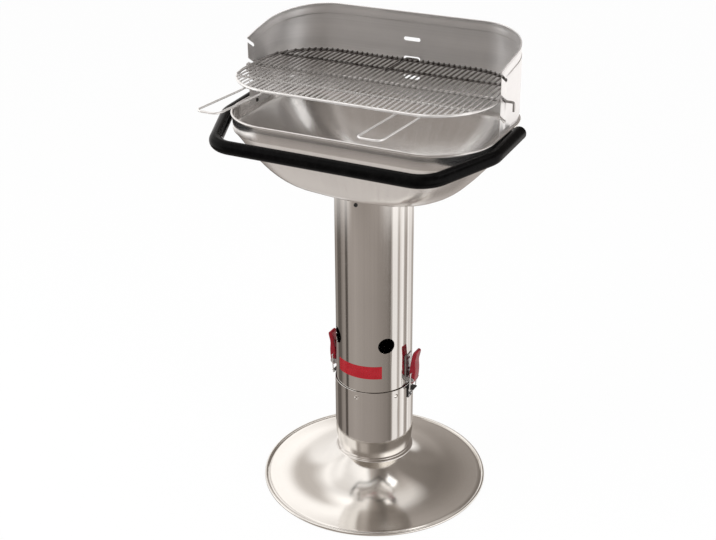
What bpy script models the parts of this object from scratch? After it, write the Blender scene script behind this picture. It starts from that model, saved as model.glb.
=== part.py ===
"""Charcoal barbecue on a round column, built from sheet, tube and wire.

A trumpet shaped dish carries an ash pot. The column slides into the pot and is
held by two toggle latches. A deep drawn bowl sits on the column, with a tube
rail round its front, a windshield tucked inside its back, a charcoal grate in
its floor and a wire cooking grate hung in the windshield's notches.

Metres, +Z up. The front is -Y, and X runs along the bowl's length. Everything is
drawn round the column's axis, and at the end the whole barbecue moves back so
that the origin is on the floor, in the middle of its footprint.
"""

import math

import bmesh
import bpy
from mathutils import Matrix, Vector

# clearances
SEAT_GAP = 0.0003
HOLE_PLAY = 0.0003

# base dish
DISH_RADIUS = 0.245
DISH_NECK_RADIUS = 0.054
DISH_TOP = 0.0745
DISH_SHEET = 0.0015
DISH_FLARE = 3.0
DISH_BEAD = 0.0034
DISH_HEM = 0.006
DISH_SEGMENTS = 44

# ash pot
POT_CLEARANCE = 0.0027
POT_HEIGHT = 0.1737
POT_SHEET = 0.0012
POT_HEM = 0.0035
POT_HEM_HEIGHT = 0.003
POT_DRAW = 0.006
POT_DRAW_HEIGHT = 0.058
DIMPLE_COUNT = 6
DIMPLE_RADIUS = 0.0045
DIMPLE_BELOW_TOP = 0.0135

# centre bolt that clamps the pot to the dish
BOLT_RADIUS = 0.004
BOLT_HEAD_RADIUS = 0.0095
BOLT_HEAD_HEIGHT = 0.0042
BOLT_TAIL = 0.014
WASHER_RADIUS = 0.016
WASHER_THICKNESS = 0.0016
NUT_ACROSS_FLATS = 0.013
NUT_HEIGHT = 0.0065

# column tube
TUBE_RADIUS = 0.0815
TUBE_SHEET = 0.0012
TUBE_TOP = 0.6920
AIR_HOLE_RADIUS = 0.018
AIR_HOLE_Z = 0.359
TUBE_SEGMENTS = 40

# collar between column and bowl
COLLAR_SHEET = 0.0015
COLLAR_DEPTH = 0.036
COLLAR_SCREW_DROP = 0.016
SCREW_RADIUS = 0.0022
SCREW_HEAD_RADIUS = 0.0042
SCREW_HEAD_HEIGHT = 0.0024
COLLAR_RIVET_RADIUS = 0.0016

# bowl
RIM_LENGTH = 0.556
RIM_WIDTH = 0.348
RIM_CORNER = 0.118
RIM_Z = 0.8435
RIM_BEAD_RADIUS = 0.0020
BOWL_SHEET = 0.0012
SKIRT_HEIGHT = 0.033
BOWL_FOOT_STEP = 0.0090
HULL_SIDE = 0.8
HULL_FLOOR = 3.0
HULL_DEPTHS = (0.975, 0.85, 0.62, 0.38, 0.18, 0.07, 0.02)
CORNER_STEPS = 7

# charcoal grate
COAL_WIRE_RADIUS = 0.0025
COAL_BAR_RADIUS = 0.002
COAL_BAR_PITCH = 0.022

# windshield
SHIELD_SHEET = 0.0010
SHIELD_FRONT_Y = -0.0225
SHIELD_BOTTOM_DROP = 0.0205
SHIELD_BACK_Z = 1.006
SHIELD_WING_Z = 0.978
SHIELD_TIP_Z = 0.9695
SHIELD_TIP_RUN = 0.0355
SHIELD_BORDER = 0.020
SHIELD_PRESS = 0.0015
SHIELD_PRESS_RUN = 0.003

# grate notches in the wings and slots in the back wall
NOTCH_PITCH = 0.0405
NOTCH_SLOPE = math.radians(34)
NOTCH_DEPTH = 0.0232
NOTCH_PLAY = 0.0008
BACK_SLOT_LENGTH = 0.037
BACK_SLOT_HEIGHT = 0.008

# rail
RAIL_RADIUS = 0.0135
RAIL_WALL = 0.0015
RAIL_FRONT_Y = -0.240
RAIL_FRONT_Z = 0.8187
RAIL_SIDE_Z = 0.8300
RAIL_FRONT_HALF = 0.225
RAIL_BEND_Y = -0.085
RAIL_CORNER = 0.055
RAIL_BACK_Y = 0.045
RAIL_SCREW_Y = 0.0042
RAIL_PLUG_DEPTH = 0.012

# cooking grate
CARRIER_Z = 0.9065
CARRIER_WIRE_RADIUS = 0.0025
GRATE_CENTRE_Y = -0.0085
GRATE_WIDTH = 0.309
GRATE_CORNER = 0.122
GRATE_SIDE_PLAY = 0.0013
GRATE_RIM_RADIUS = 0.003
GRATE_BAR_RADIUS = 0.00175
GRATE_END_GAP = 0.0040
GRATE_BAR_PITCH = 0.0115
STAY_OFFSET = 0.083
STAY_RADIUS = 0.0025
WELD_DEPTH = 0.0010
HOOK_REACH = 0.0175
HOOK_DROP = 0.018
TAB_WIRE_RADIUS = 0.002
TAB_WIDTH = 0.026
TAB_X = 0.0025
TAB_PAST_WALL = 0.0035
HANDLE_WIRE_RADIUS = 0.0022
HANDLE_WIDTH = 0.052
HANDLE_FRONT_Y = -0.314
HANDLE_RISE = 0.007
HANDLE_CORNER = 0.014
HANDLE_LEFT_SHARE = -0.669
HANDLE_RIGHT_SHARE = 0.520

# toggle latches
LATCH_Z = 0.264
LATCH_PIVOT_OUT = 0.013
LEVER_HALF_WIDTH = 0.0115
LEVER_LENGTH = 0.066
PIN_RADIUS = 0.0015
BAIL_WIRE_RADIUS = 0.00125
BAIL_ARM = 0.016
BAIL_SET_BACK = 0.0005
PLATE_SHEET = 0.0015
PLATE_HEIGHT = 0.064
PLATE_BELOW_PIVOT = 0.0085
EAR_SHEET = 0.0012
EAR_RADIUS = 0.0055
CATCH_SHEET = 0.0015
CATCH_BEND = 0.0015
CATCH_BAR_OUT = 0.0055
CATCH_LIP_OUT = 0.0045
CATCH_LIP = 0.0008
CATCH_BELOW_TOP = 0.00945
CATCH_HEIGHT = 0.0235
CATCH_HALF_WIDTH = 0.010
RIVET_RADIUS = 0.0015
RIVET_HEAD_RADIUS = 0.0031
RIVET_HEAD_HEIGHT = 0.0010

# places that follow from the sizes above
FOOTPRINT_SHIFT = (HANDLE_WIRE_RADIUS - HANDLE_FRONT_Y - DISH_RADIUS) / 2
POT_RADIUS = TUBE_RADIUS + POT_CLEARANCE
BOWL_FOOT_RADIUS = TUBE_RADIUS + BOWL_FOOT_STEP
HANDLE_LEFT_X = HANDLE_LEFT_SHARE * RIM_LENGTH / 2
HANDLE_RIGHT_X = HANDLE_RIGHT_SHARE * RIM_LENGTH / 2
POT_BOTTOM = DISH_TOP + SEAT_GAP
POT_TOP = POT_BOTTOM + POT_HEIGHT
DIMPLE_Z = POT_TOP - DIMPLE_BELOW_TOP
TUBE_BOTTOM = DIMPLE_Z + DIMPLE_RADIUS + SEAT_GAP
TUBE_INNER = TUBE_RADIUS - TUBE_SHEET
COLLAR_OUTER = TUBE_INNER - SEAT_GAP
COLLAR_INNER = COLLAR_OUTER - COLLAR_SHEET
COLLAR_TOP = TUBE_TOP + SEAT_GAP + COLLAR_SHEET
FLANGE_RADIUS = BOWL_FOOT_RADIUS - 0.0005
COLLAR_RIVET_CIRCLE = (TUBE_RADIUS + FLANGE_RADIUS) / 2
BOWL_BOTTOM = COLLAR_TOP + SEAT_GAP
SKIRT_INSET = 2 * RIM_BEAD_RADIUS - BOWL_SHEET
SKIRT_Z = RIM_Z - SKIRT_HEIGHT
SHIELD_INSET = SKIRT_INSET + BOWL_SHEET + SEAT_GAP
SHIELD_X = RIM_LENGTH / 2 - SHIELD_INSET
SHIELD_Y = RIM_WIDTH / 2 - SHIELD_INSET
SHIELD_CORNER = RIM_CORNER - SHIELD_INSET
SHIELD_BOTTOM = RIM_Z - SHIELD_BOTTOM_DROP
CARRIER_Y = SHIELD_FRONT_Y + NOTCH_DEPTH
GRATE_RIM_Z = CARRIER_Z + CARRIER_WIRE_RADIUS + GRATE_RIM_RADIUS + SEAT_GAP
GRATE_BAR_Z = GRATE_RIM_Z + GRATE_RIM_RADIUS + GRATE_BAR_RADIUS - WELD_DEPTH
STAY_Z = GRATE_BAR_Z - GRATE_BAR_RADIUS - STAY_RADIUS - SEAT_GAP
GRATE_HALF_X = SHIELD_X - SHIELD_SHEET - GRATE_SIDE_PLAY
GRATE_BAR_COUNT = 2 * int((GRATE_HALF_X - GRATE_RIM_RADIUS - GRATE_END_GAP) / GRATE_BAR_PITCH + 0.5)
TAB_Z = GRATE_RIM_Z - GRATE_RIM_RADIUS - TAB_WIRE_RADIUS - SEAT_GAP
BACK_SLOT_Z = TAB_Z - TAB_WIRE_RADIUS - SEAT_GAP + BACK_SLOT_HEIGHT / 2
RAIL_SIDE_X = RIM_LENGTH / 2 - SKIRT_INSET + SEAT_GAP + RAIL_RADIUS
PIVOT_X = TUBE_RADIUS + LATCH_PIVOT_OUT
BAIL_X = PIVOT_X - BAIL_SET_BACK
BAIL_TOP_Z = LATCH_Z + BAIL_ARM
BAIL_HALF_WIDTH = LEVER_HALF_WIDTH + 0.0045
SHELF_Z = POT_TOP - CATCH_BELOW_TOP
CATCH_LOW = SHELF_Z + CATCH_SHEET - CATCH_HEIGHT
BAR_X = POT_RADIUS + SEAT_GAP + CATCH_SHEET + CATCH_BAR_OUT
BAR_Z = SHELF_Z - SEAT_GAP - BAIL_WIRE_RADIUS


def clear_scene():
    for item in list(bpy.data.objects):
        bpy.data.objects.remove(item, do_unlink=True)


def finish(name, colour, metallic, roughness):
    """a plain Principled material"""
    material = bpy.data.materials.new(name)
    material.use_nodes = True
    shader = material.node_tree.nodes["Principled BSDF"]
    shader.inputs["Base Color"].default_value = (*colour, 1.0)
    shader.inputs["Metallic"].default_value = metallic
    shader.inputs["Roughness"].default_value = roughness
    return material


def polished_steel():
    return finish("polished steel", (0.78, 0.77, 0.75), 1.0, 0.16)


def brushed_steel():
    return finish("brushed steel", (0.70, 0.69, 0.67), 1.0, 0.32)


def chromed_wire():
    return finish("chromed wire", (0.80, 0.79, 0.78), 1.0, 0.12)


def black_enamel():
    return finish("black enamel", (0.012, 0.012, 0.013), 0.0, 0.12)


def black_plastic():
    return finish("black plastic", (0.02, 0.02, 0.02), 0.0, 0.45)


def red_plastic():
    return finish("red plastic", (0.50, 0.012, 0.016), 0.0, 0.25)


def zinc_steel():
    return finish("zinc plated steel", (0.62, 0.62, 0.63), 1.0, 0.35)


def place(name, bm, material, origin=(0, 0, 0), parent=None, angle=40):
    """turns a bmesh drawn in world positions into an object with its origin at origin"""
    bmesh.ops.recalc_face_normals(bm, faces=bm.faces)
    mesh = bpy.data.meshes.new(name)
    bmesh.ops.translate(bm, verts=bm.verts, vec=-Vector(origin))
    bm.to_mesh(mesh)
    bm.free()
    mesh.materials.append(material)
    mesh.shade_smooth()
    mesh.set_sharp_from_angle(angle=math.radians(angle))
    item = bpy.data.objects.new(name, mesh)
    bpy.context.scene.collection.objects.link(item)
    item.location = Vector(origin)
    if parent is not None:
        item.parent = parent
        item.location = Vector(origin) - parent.location
    return item


def pivot(name, where):
    empty = bpy.data.objects.new(name, None)
    empty.location = where
    empty.empty_display_size = 0.03
    bpy.context.scene.collection.objects.link(empty)
    return empty


def boolean(item, tool, operation):
    """adds a Boolean modifier whose cutter is drawn in the same place as the object"""
    bmesh.ops.recalc_face_normals(tool, faces=tool.faces)
    mesh = bpy.data.meshes.new(item.name + "_" + operation.lower())
    tool.to_mesh(mesh)
    tool.free()
    cutter = bpy.data.objects.new(mesh.name, mesh)
    bpy.context.scene.collection.objects.link(cutter)
    cutter.hide_render = True
    cutter.display_type = "WIRE"
    modifier = item.modifiers.new(operation.lower(), "BOOLEAN")
    modifier.operation = operation
    modifier.solver = "EXACT"
    modifier.object = cutter


def cut(item, tool):
    boolean(item, tool, "DIFFERENCE")


def fuse(item, tool):
    boolean(item, tool, "UNION")


def add_rings(bm, rings, wrap=False, capped=False):
    """skins a list of rings, each a list of points or one single point"""
    rows = [[bm.verts.new(p) for p in ring] for ring in rings]
    pairs = list(zip(rows, rows[1:]))
    if wrap:
        pairs.append((rows[-1], rows[0]))
    for low, high in pairs:
        for k in range(max(len(low), len(high))):
            here, ahead = low[k % len(low)], low[(k + 1) % len(low)]
            above, above_ahead = high[k % len(high)], high[(k + 1) % len(high)]
            if len(low) == 1:
                bm.faces.new((here, above_ahead, above))
            elif len(high) == 1:
                bm.faces.new((here, ahead, above))
            else:
                bm.faces.new((here, ahead, above_ahead, above))
    if capped:
        bm.faces.new(rows[0])
        bm.faces.new(rows[-1])


def lathe(bm, profile, segments, matrix=Matrix(), wrap=True):
    """turns (radius, height) points round the matrix's Z axis"""
    rings = []
    for radius, height in profile:
        if radius == 0:
            rings.append([matrix @ Vector((0, 0, height))])
            continue
        turn = [2 * math.pi * k / segments for k in range(segments)]
        rings.append([matrix @ Vector((radius * math.cos(t), radius * math.sin(t), height)) for t in turn])
    add_rings(bm, rings, wrap=wrap)


def rod(bm, start, end, radius, sides=8):
    """a straight closed cylinder between two points"""
    start, end = Vector(start), Vector(end)
    along = end - start
    turn = along.to_track_quat("Z", "Y").to_matrix().to_4x4()
    profile = [(0, 0), (radius, 0), (radius, along.length), (0, along.length)]
    lathe(bm, profile, sides, Matrix.Translation(start) @ turn, wrap=False)


def prism(bm, outline, matrix, half_depth):
    """extrudes a flat outline by half_depth to each side along the matrix's Z axis"""
    low = [matrix @ Vector((x, y, -half_depth)) for x, y in outline]
    high = [matrix @ Vector((x, y, half_depth)) for x, y in outline]
    add_rings(bm, [low, high], capped=True)


def sheet_profile(path, thickness):
    """closes an open (radius, height) path with the same path moved to its left"""
    shifted = []
    for k, (r, z) in enumerate(path):
        back = path[max(k - 1, 0)]
        ahead = path[min(k + 1, len(path) - 1)]
        directions = []
        for p, q in ((back, (r, z)), ((r, z), ahead)):
            d = Vector((q[0] - p[0], q[1] - p[1]))
            if d.length > 0:
                directions.append(d.normalized())
        normals = [Vector((-d.y, d.x)) for d in directions]
        mean = sum(normals, Vector((0, 0))).normalized()
        reach = thickness / max(mean.dot(normals[0]), 0.4)
        shifted.append((r + mean.x * reach, z + mean.y * reach))
    return list(path) + shifted[::-1]


def arc(centre, radius, start, end, steps):
    """points (x, y) along an arc, angles in degrees"""
    points = []
    for k in range(steps + 1):
        t = math.radians(start + (end - start) * k / steps)
        points.append((centre[0] + radius * math.cos(t), centre[1] + radius * math.sin(t)))
    return points


def rounded_rectangle(half_x, half_y, corner, steps=CORNER_STEPS, long_side=4, short_side=2):
    """counter-clockwise points, with the same count whatever the size"""
    points = []
    for sx, sy, start, divisions in (
        (1, 1, 0, long_side),
        (-1, 1, 90, short_side),
        (-1, -1, 180, long_side),
        (1, -1, 270, short_side),
    ):
        centre = (sx * (half_x - corner), sy * (half_y - corner))
        turn = arc(centre, corner, start, start + 90, steps)
        points += turn
        x, y = turn[-1]
        far_x = -x if start in (0, 180) else x
        far_y = y if start in (0, 180) else -y
        for k in range(1, divisions):
            share = k / divisions
            points.append((x + (far_x - x) * share, y + (far_y - y) * share))
    return points


def soften(points, radius, steps=5):
    """rounds the inner corners of an open 3D polyline"""
    points = [Vector(p) for p in points]
    path = [points[0]]
    for before, corner, after in zip(points, points[1:], points[2:]):
        to_before = (before - corner).normalized()
        to_after = (after - corner).normalized()
        half = to_before.angle(to_after) / 2
        reach = radius / math.tan(half)
        middle = corner + (to_before + to_after).normalized() * (radius / math.sin(half))
        first = corner + to_before * reach - middle
        last = corner + to_after * reach - middle
        for k in range(steps + 1):
            path.append(middle + first.normalized().slerp(last.normalized(), k / steps) * radius)
    path.append(points[-1])
    return path


def wire(bm, path, radius, sides=8, closed=False, bore=0.0):
    """sweeps a round section along a path, without twist"""
    path = [Vector(p) for p in path]
    count = len(path)
    tangents = []
    for k in range(count):
        ahead = path[(k + 1) % count] if closed or k + 1 < count else path[k]
        back = path[k - 1] if closed or k > 0 else path[k]
        tangents.append((ahead - back).normalized())
    side = tangents[0].orthogonal().normalized()
    if abs(tangents[0].z) < 0.9:
        side = Vector((0, 0, 1))
    outer, inner = [], []
    for k in range(count):
        side = (side - tangents[k] * side.dot(tangents[k])).normalized()
        other = tangents[k].cross(side)
        stretch = 1.0
        if closed or 0 < k < count - 1:
            leg = (path[(k + 1) % count] - path[k]).normalized()
            stretch = 1 / max(leg.dot(tangents[k]), 0.5)
        bend = Vector((0, 0, 0))
        if stretch > 1.0001:
            bend = ((path[(k + 1) % count] - path[k]).normalized() - tangents[k]).normalized()
        for ring, size in ((outer, radius), (inner, bore)):
            points = []
            for m in range(sides):
                t = 2 * math.pi * (m + 0.5) / sides
                offset = side * math.cos(t) * size + other * math.sin(t) * size
                offset += bend * offset.dot(bend) * (stretch - 1)
                points.append(path[k] + offset)
            ring.append(points)
    if bore > 0:
        add_rings(bm, outer + inner[::-1], wrap=True)
    else:
        add_rings(bm, outer, wrap=closed, capped=not closed)


def smooth_loop(points, steps):
    """a closed curve through the points, with steps pieces between two of them"""
    points = [Vector(p) for p in points]
    count = len(points)
    out = []
    for k in range(count):
        a, b, c, d = (points[(k + m) % count] for m in (-1, 0, 1, 2))
        for m in range(steps):
            t = m / steps
            p = b * 2 + (c - a) * t + (a * 2 - b * 5 + c * 4 - d) * t ** 2 + (b * 3 - a - c * 3 + d) * t ** 3
            out.append(tuple(p * 0.5))
    return out


def radial(angle, z, out=0.0):
    """a frame on the column's axis at height z, its Z axis pointing out at angle degrees"""
    turn = Matrix.Rotation(math.radians(angle), 4, "Z") @ Matrix.Rotation(math.pi / 2, 4, "Y")
    return Matrix.Translation((0, 0, z)) @ turn @ Matrix.Translation((0, 0, out))


def frame_at(origin, along, up):
    """a frame with its X axis along, its Y axis up and its origin at origin"""
    along, up = Vector(along), Vector(up)
    turn = Matrix((along, up, along.cross(up))).transposed().to_4x4()
    return Matrix.Translation(origin) @ turn


def add_fasteners(name, frames, material, head, shank, tail=None):
    """one domed fastener for each frame, its head on the frame's plane and its shank going to -Z

    head, shank and tail are (radius, length), and the tail is a rivet's set end
    """
    head_radius, head_height = head
    shank_radius, shank_length = shank
    profile = [(0, head_height), (head_radius * 0.7, head_height * 0.8), (head_radius, 0.0), (shank_radius, 0.0)]
    profile.append((shank_radius, -shank_length))
    if tail:
        tail_radius, tail_height = tail
        end = -shank_length - tail_height
        profile += [(tail_radius, -shank_length), (0, end)]
    else:
        profile.append((0, -shank_length))
    bm = bmesh.new()
    lathe(bm, profile, 8, wrap=False)
    first = place(name + "_1" if len(frames) > 1 else name, bm, material)
    first.matrix_world = frames[0]
    for k, frame in enumerate(frames[1:], start=2):
        copy = bpy.data.objects.new("%s_%d" % (name, k), first.data)
        bpy.context.scene.collection.objects.link(copy)
        copy.matrix_world = frame


def make_base_dish():
    """spun trumpet: flat seat, concave flare and a rolled bead with a flat hem under it"""
    bead_z = DISH_BEAD
    valley = DISH_RADIUS - 2 * DISH_BEAD
    bolt_hole = BOLT_RADIUS + HOLE_PLAY
    path = [(bolt_hole, DISH_TOP)]
    path += [(DISH_NECK_RADIUS - 0.005, DISH_TOP)]
    run = valley - DISH_NECK_RADIUS
    steps = 7
    for k in range(steps + 1):
        share = (k / steps) ** 1.25
        radius = DISH_NECK_RADIUS + run * share
        height = bead_z + (DISH_TOP - 0.003 - bead_z) * (1 - share) ** DISH_FLARE
        path.append((radius, height))
    centre = (DISH_RADIUS - DISH_BEAD, bead_z)
    path += arc(centre, DISH_BEAD, 130, 0, 2)
    path += arc(centre, DISH_BEAD, -50, -90, 1)
    path.append((DISH_RADIUS - DISH_BEAD - DISH_HEM, 0.0))
    path.reverse()
    bm = bmesh.new()
    lathe(bm, sheet_profile(path, DISH_SHEET), DISH_SEGMENTS)
    return place("base_dish", bm, polished_steel())


def make_ash_pot():
    """drawn cup with a crimped floor hem, drawn-in foot and six dimples that carry the column"""
    foot = POT_RADIUS - POT_DRAW
    hole = BOLT_RADIUS + HOLE_PLAY
    hem_top = POT_BOTTOM + POT_HEM_HEIGHT
    straight = hem_top + POT_DRAW_HEIGHT
    outer = [(hole, POT_BOTTOM), (foot + POT_HEM + 0.0025, POT_BOTTOM), (foot + POT_HEM + 0.0035, POT_BOTTOM + 0.001)]
    outer += [(foot + POT_HEM + 0.0035, hem_top - 0.001), (foot + POT_HEM + 0.0025, hem_top), (foot, hem_top)]
    wall = []
    for k in range(1, 5):
        share = k / 4
        ease = share * (2 - share)
        wall.append((foot + POT_DRAW * ease, hem_top + (straight - hem_top) * share))
    wall.append((POT_RADIUS, POT_TOP))
    inner = [(r - POT_SHEET, z) for r, z in [(foot, hem_top)] + wall]
    inner = inner[::-1] + [(foot - POT_SHEET, POT_BOTTOM + POT_SHEET), (hole, POT_BOTTOM + POT_SHEET)]
    bm = bmesh.new()
    lathe(bm, outer + wall + inner, TUBE_SEGMENTS)
    pot = place("ash_pot", bm, polished_steel())

    bumps, tools = bmesh.new(), bmesh.new()
    reach = TUBE_INNER - 0.0004
    base = POT_RADIUS - POT_SHEET / 2
    dent_floor = reach + POT_SHEET
    bump = [(0, reach), (DIMPLE_RADIUS - 0.0006, reach), (DIMPLE_RADIUS, reach + 0.0006), (DIMPLE_RADIUS, base)]
    bump.append((0, base))
    dent = [(0, dent_floor), (DIMPLE_RADIUS * 0.5, dent_floor), (DIMPLE_RADIUS * 0.9, POT_RADIUS + 0.001)]
    dent.append((0, POT_RADIUS + 0.001))
    for k in range(DIMPLE_COUNT):
        matrix = radial(-90 + 360 * k / DIMPLE_COUNT, DIMPLE_Z)
        lathe(bumps, bump, 8, matrix, wrap=False)
        lathe(tools, dent, 8, matrix, wrap=False)
    fuse(pot, bumps)
    for side in (1, -1):
        for rivet in catch_rivet_places(side):
            lathe(tools, hole_profile(RIVET_RADIUS), 8, rivet, wrap=False)
    cut(pot, tools)


def hole_profile(radius, reach=0.006):
    """a cutter for a clearance hole, centred on the plane it starts from"""
    size = radius + HOLE_PLAY
    return [(0, -reach), (size, -reach), (size, reach), (0, reach)]


def make_centre_bolt():
    """coach bolt through pot and dish, with its washer and nut under the dish"""
    floor_top = POT_BOTTOM + POT_SHEET + SEAT_GAP
    under = DISH_TOP - DISH_SHEET - SEAT_GAP
    low = under - WASHER_THICKNESS
    nut_top = low - SEAT_GAP
    nut_low = nut_top - NUT_HEIGHT
    end = nut_low - BOLT_TAIL
    profile = [(0, floor_top + BOLT_HEAD_HEIGHT), (BOLT_HEAD_RADIUS * 0.6, floor_top + BOLT_HEAD_HEIGHT * 0.85)]
    profile += [(BOLT_HEAD_RADIUS, floor_top), (BOLT_RADIUS, floor_top), (BOLT_RADIUS, end), (0, end)]
    bm = bmesh.new()
    lathe(bm, profile, 18, wrap=False)
    place("base_bolt", bm, zinc_steel())

    bore = BOLT_RADIUS + HOLE_PLAY
    bm = bmesh.new()
    lathe(bm, [(bore, low), (WASHER_RADIUS, low), (WASHER_RADIUS, under), (bore, under)], 24)
    place("base_washer", bm, zinc_steel())

    bm = bmesh.new()
    corner = NUT_ACROSS_FLATS / 2 / math.cos(math.pi / 6)
    lathe(bm, [(0, nut_low), (corner, nut_low), (corner, nut_top), (0, nut_top)], 6, wrap=False)
    nut = place("base_nut", bm, zinc_steel(), angle=20)
    thread = bmesh.new()
    rod(thread, (0, 0, nut_low - 0.01), (0, 0, nut_top + 0.01), bore, 18)
    cut(nut, thread)


def collar_screw_places():
    z = TUBE_TOP - COLLAR_SCREW_DROP
    return [radial(90 * k, z, TUBE_RADIUS + SEAT_GAP) for k in range(4)]


def plate_rivet_places(side):
    """two rivets behind each lever, starting on the latch plate's face"""
    out = TUBE_RADIUS + SEAT_GAP + PLATE_SHEET + SEAT_GAP
    angle = 0 if side > 0 else 180
    return [radial(angle, LATCH_Z + rise, out) for rise in (0.021, 0.047)]


def catch_rivet_places(side):
    """two rivets side by side near the catch's lower end"""
    angle = 0 if side > 0 else 180
    z = CATCH_LOW + 0.0045
    frames = []
    for across in (-0.0055, 0.0055):
        shift = Matrix.Translation((0, side * across, 0))
        out = POT_RADIUS + SEAT_GAP + CATCH_SHEET + SEAT_GAP
        frames.append(shift @ radial(angle, z, out))
    return frames


def make_tube():
    """column tube with four air holes on the diagonals and its fastener holes"""
    bm = bmesh.new()
    profile = [(TUBE_INNER, TUBE_BOTTOM), (TUBE_RADIUS, TUBE_BOTTOM), (TUBE_RADIUS, TUBE_TOP), (TUBE_INNER, TUBE_TOP)]
    lathe(bm, profile, TUBE_SEGMENTS)
    tube = place("column_tube", bm, brushed_steel())
    holes = bmesh.new()
    for angle in (45, 135, 225, 315):
        matrix = radial(angle, AIR_HOLE_Z)
        far = TUBE_RADIUS + 0.01
        near = TUBE_INNER - 0.02
        profile = [(0, near), (AIR_HOLE_RADIUS, near), (AIR_HOLE_RADIUS, far), (0, far)]
        lathe(holes, profile, 20, matrix, wrap=False)
    for matrix in collar_screw_places():
        lathe(holes, hole_profile(SCREW_RADIUS), 8, matrix, wrap=False)
    for side in (1, -1):
        for matrix in plate_rivet_places(side):
            lathe(holes, hole_profile(RIVET_RADIUS), 8, matrix, wrap=False)
    cut(tube, holes)
    return tube


def make_collar():
    """pressed ring that sits in the column and carries the bowl on its flange"""
    flange_low = TUBE_TOP + SEAT_GAP
    profile = [(COLLAR_INNER, TUBE_TOP - COLLAR_DEPTH), (COLLAR_OUTER, TUBE_TOP - COLLAR_DEPTH)]
    profile += [(COLLAR_OUTER, flange_low), (FLANGE_RADIUS, flange_low), (FLANGE_RADIUS, COLLAR_TOP)]
    profile += [(COLLAR_INNER, COLLAR_TOP)]
    bm = bmesh.new()
    lathe(bm, profile, TUBE_SEGMENTS)
    collar = place("bowl_collar", bm, zinc_steel())
    holes = bmesh.new()
    for matrix in collar_screw_places():
        lathe(holes, hole_profile(SCREW_RADIUS), 8, matrix, wrap=False)
    for matrix in collar_rivet_places():
        lathe(holes, hole_profile(COLLAR_RIVET_RADIUS), 8, matrix, wrap=False)
    cut(collar, holes)

    length = SEAT_GAP + TUBE_SHEET + SEAT_GAP + COLLAR_SHEET + 0.004
    screw_head = (SCREW_HEAD_RADIUS, SCREW_HEAD_HEIGHT)
    add_fasteners("collar_screw", collar_screw_places(), black_plastic(), screw_head, (SCREW_RADIUS, length))
    grip = SEAT_GAP + BOWL_SHEET + SEAT_GAP + COLLAR_SHEET + SEAT_GAP
    shank = (COLLAR_RIVET_RADIUS, grip)
    add_fasteners("collar_rivet", collar_rivet_places(), zinc_steel(), (0.0028, 0.0012), shank, (0.0025, 0.0009))


def collar_rivet_places():
    """four rivets on the diagonals, their heads on the bowl's floor"""
    top = BOWL_BOTTOM + BOWL_SHEET + SEAT_GAP
    frames = []
    for k in range(4):
        t = math.radians(45 + 90 * k)
        where = (COLLAR_RIVET_CIRCLE * math.cos(t), COLLAR_RIVET_CIRCLE * math.sin(t), top)
        frames.append(Matrix.Translation(where))
    return frames


def bowl_outline(inset):
    return rounded_rectangle(RIM_LENGTH / 2 - inset, RIM_WIDTH / 2 - inset, RIM_CORNER - inset)


def matched_circle(radius):
    """a circle whose points answer those of the bowl's outline"""
    points = []
    for x, y in bowl_outline(SKIRT_INSET):
        t = math.atan2(y / RIM_WIDTH, x / RIM_LENGTH)
        points.append((radius * math.cos(t), radius * math.sin(t)))
    return points


def hull_spread(depth):
    """how far the hull has opened from its foot to its skirt, at a share of its depth"""
    return max(1 - depth ** HULL_SIDE, 0.0) ** (1 / HULL_FLOOR)


def hull_height(depth):
    return SKIRT_Z - (SKIRT_Z - BOWL_BOTTOM) * depth


def hull_ring(depth):
    spread = hull_spread(depth)
    z = hull_height(depth)
    ring = []
    for (x0, y0), (x1, y1) in zip(matched_circle(BOWL_FOOT_RADIUS), bowl_outline(SKIRT_INSET)):
        ring.append((x0 + (x1 - x0) * spread, y0 + (y1 - y0) * spread, z))
    return ring


def bowl_rings():
    """outer surface from the round mouth up the hull and skirt and over the rim's curl"""
    rings = []
    for radius in (COLLAR_INNER, BOWL_FOOT_RADIUS - 0.0015):
        rings.append([(x, y, BOWL_BOTTOM) for x, y in matched_circle(radius)])
    for depth in HULL_DEPTHS:
        rings.append(hull_ring(depth))
    curl = RIM_BEAD_RADIUS - BOWL_SHEET
    centre_z = RIM_Z - RIM_BEAD_RADIUS
    rings.append([(x, y, SKIRT_Z + 0.004) for x, y in bowl_outline(SKIRT_INSET)])
    for angle in (180, 110, 40, -40):
        t = math.radians(angle)
        inset = RIM_BEAD_RADIUS - curl * math.cos(t)
        z = centre_z + curl * math.sin(t)
        rings.append([(x, y, z) for x, y in bowl_outline(inset)])
    return rings


def make_bowl():
    bm = bmesh.new()
    add_rings(bm, bowl_rings())
    bmesh.ops.recalc_face_normals(bm, faces=bm.faces)
    bowl = place("bowl", bm, polished_steel(), angle=50)
    if bowl.data.polygons[0].normal.z > 0:
        bowl.data.flip_normals()
    shell = bowl.modifiers.new("sheet", "SOLIDIFY")
    shell.thickness = BOWL_SHEET
    shell.offset = -1
    shell.use_even_offset = True
    holes = bmesh.new()
    for matrix in collar_rivet_places():
        lathe(holes, hole_profile(COLLAR_RIVET_RADIUS), 8, matrix, wrap=False)
    for matrix in rail_screw_places():
        lathe(holes, hole_profile(SCREW_RADIUS), 8, matrix, wrap=False)
    cut(bowl, holes)
    return bowl


def rail_screw_places():
    """inside each wing of the windshield, their Z axes pointing into the bowl"""
    x = SHIELD_X - SHIELD_SHEET - SEAT_GAP
    frames = []
    for side in (1, -1):
        turn = Matrix.Rotation(-side * math.pi / 2, 4, "Y")
        frames.append(Matrix.Translation((side * x, RAIL_SCREW_Y, RAIL_SIDE_Z)) @ turn)
    return frames


def rail_height(y):
    """the rail climbs evenly from its front bar to its screws"""
    share = (y - RAIL_FRONT_Y) / (RAIL_SCREW_Y - RAIL_FRONT_Y)
    return RAIL_FRONT_Z + (RAIL_SIDE_Z - RAIL_FRONT_Z) * share


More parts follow.
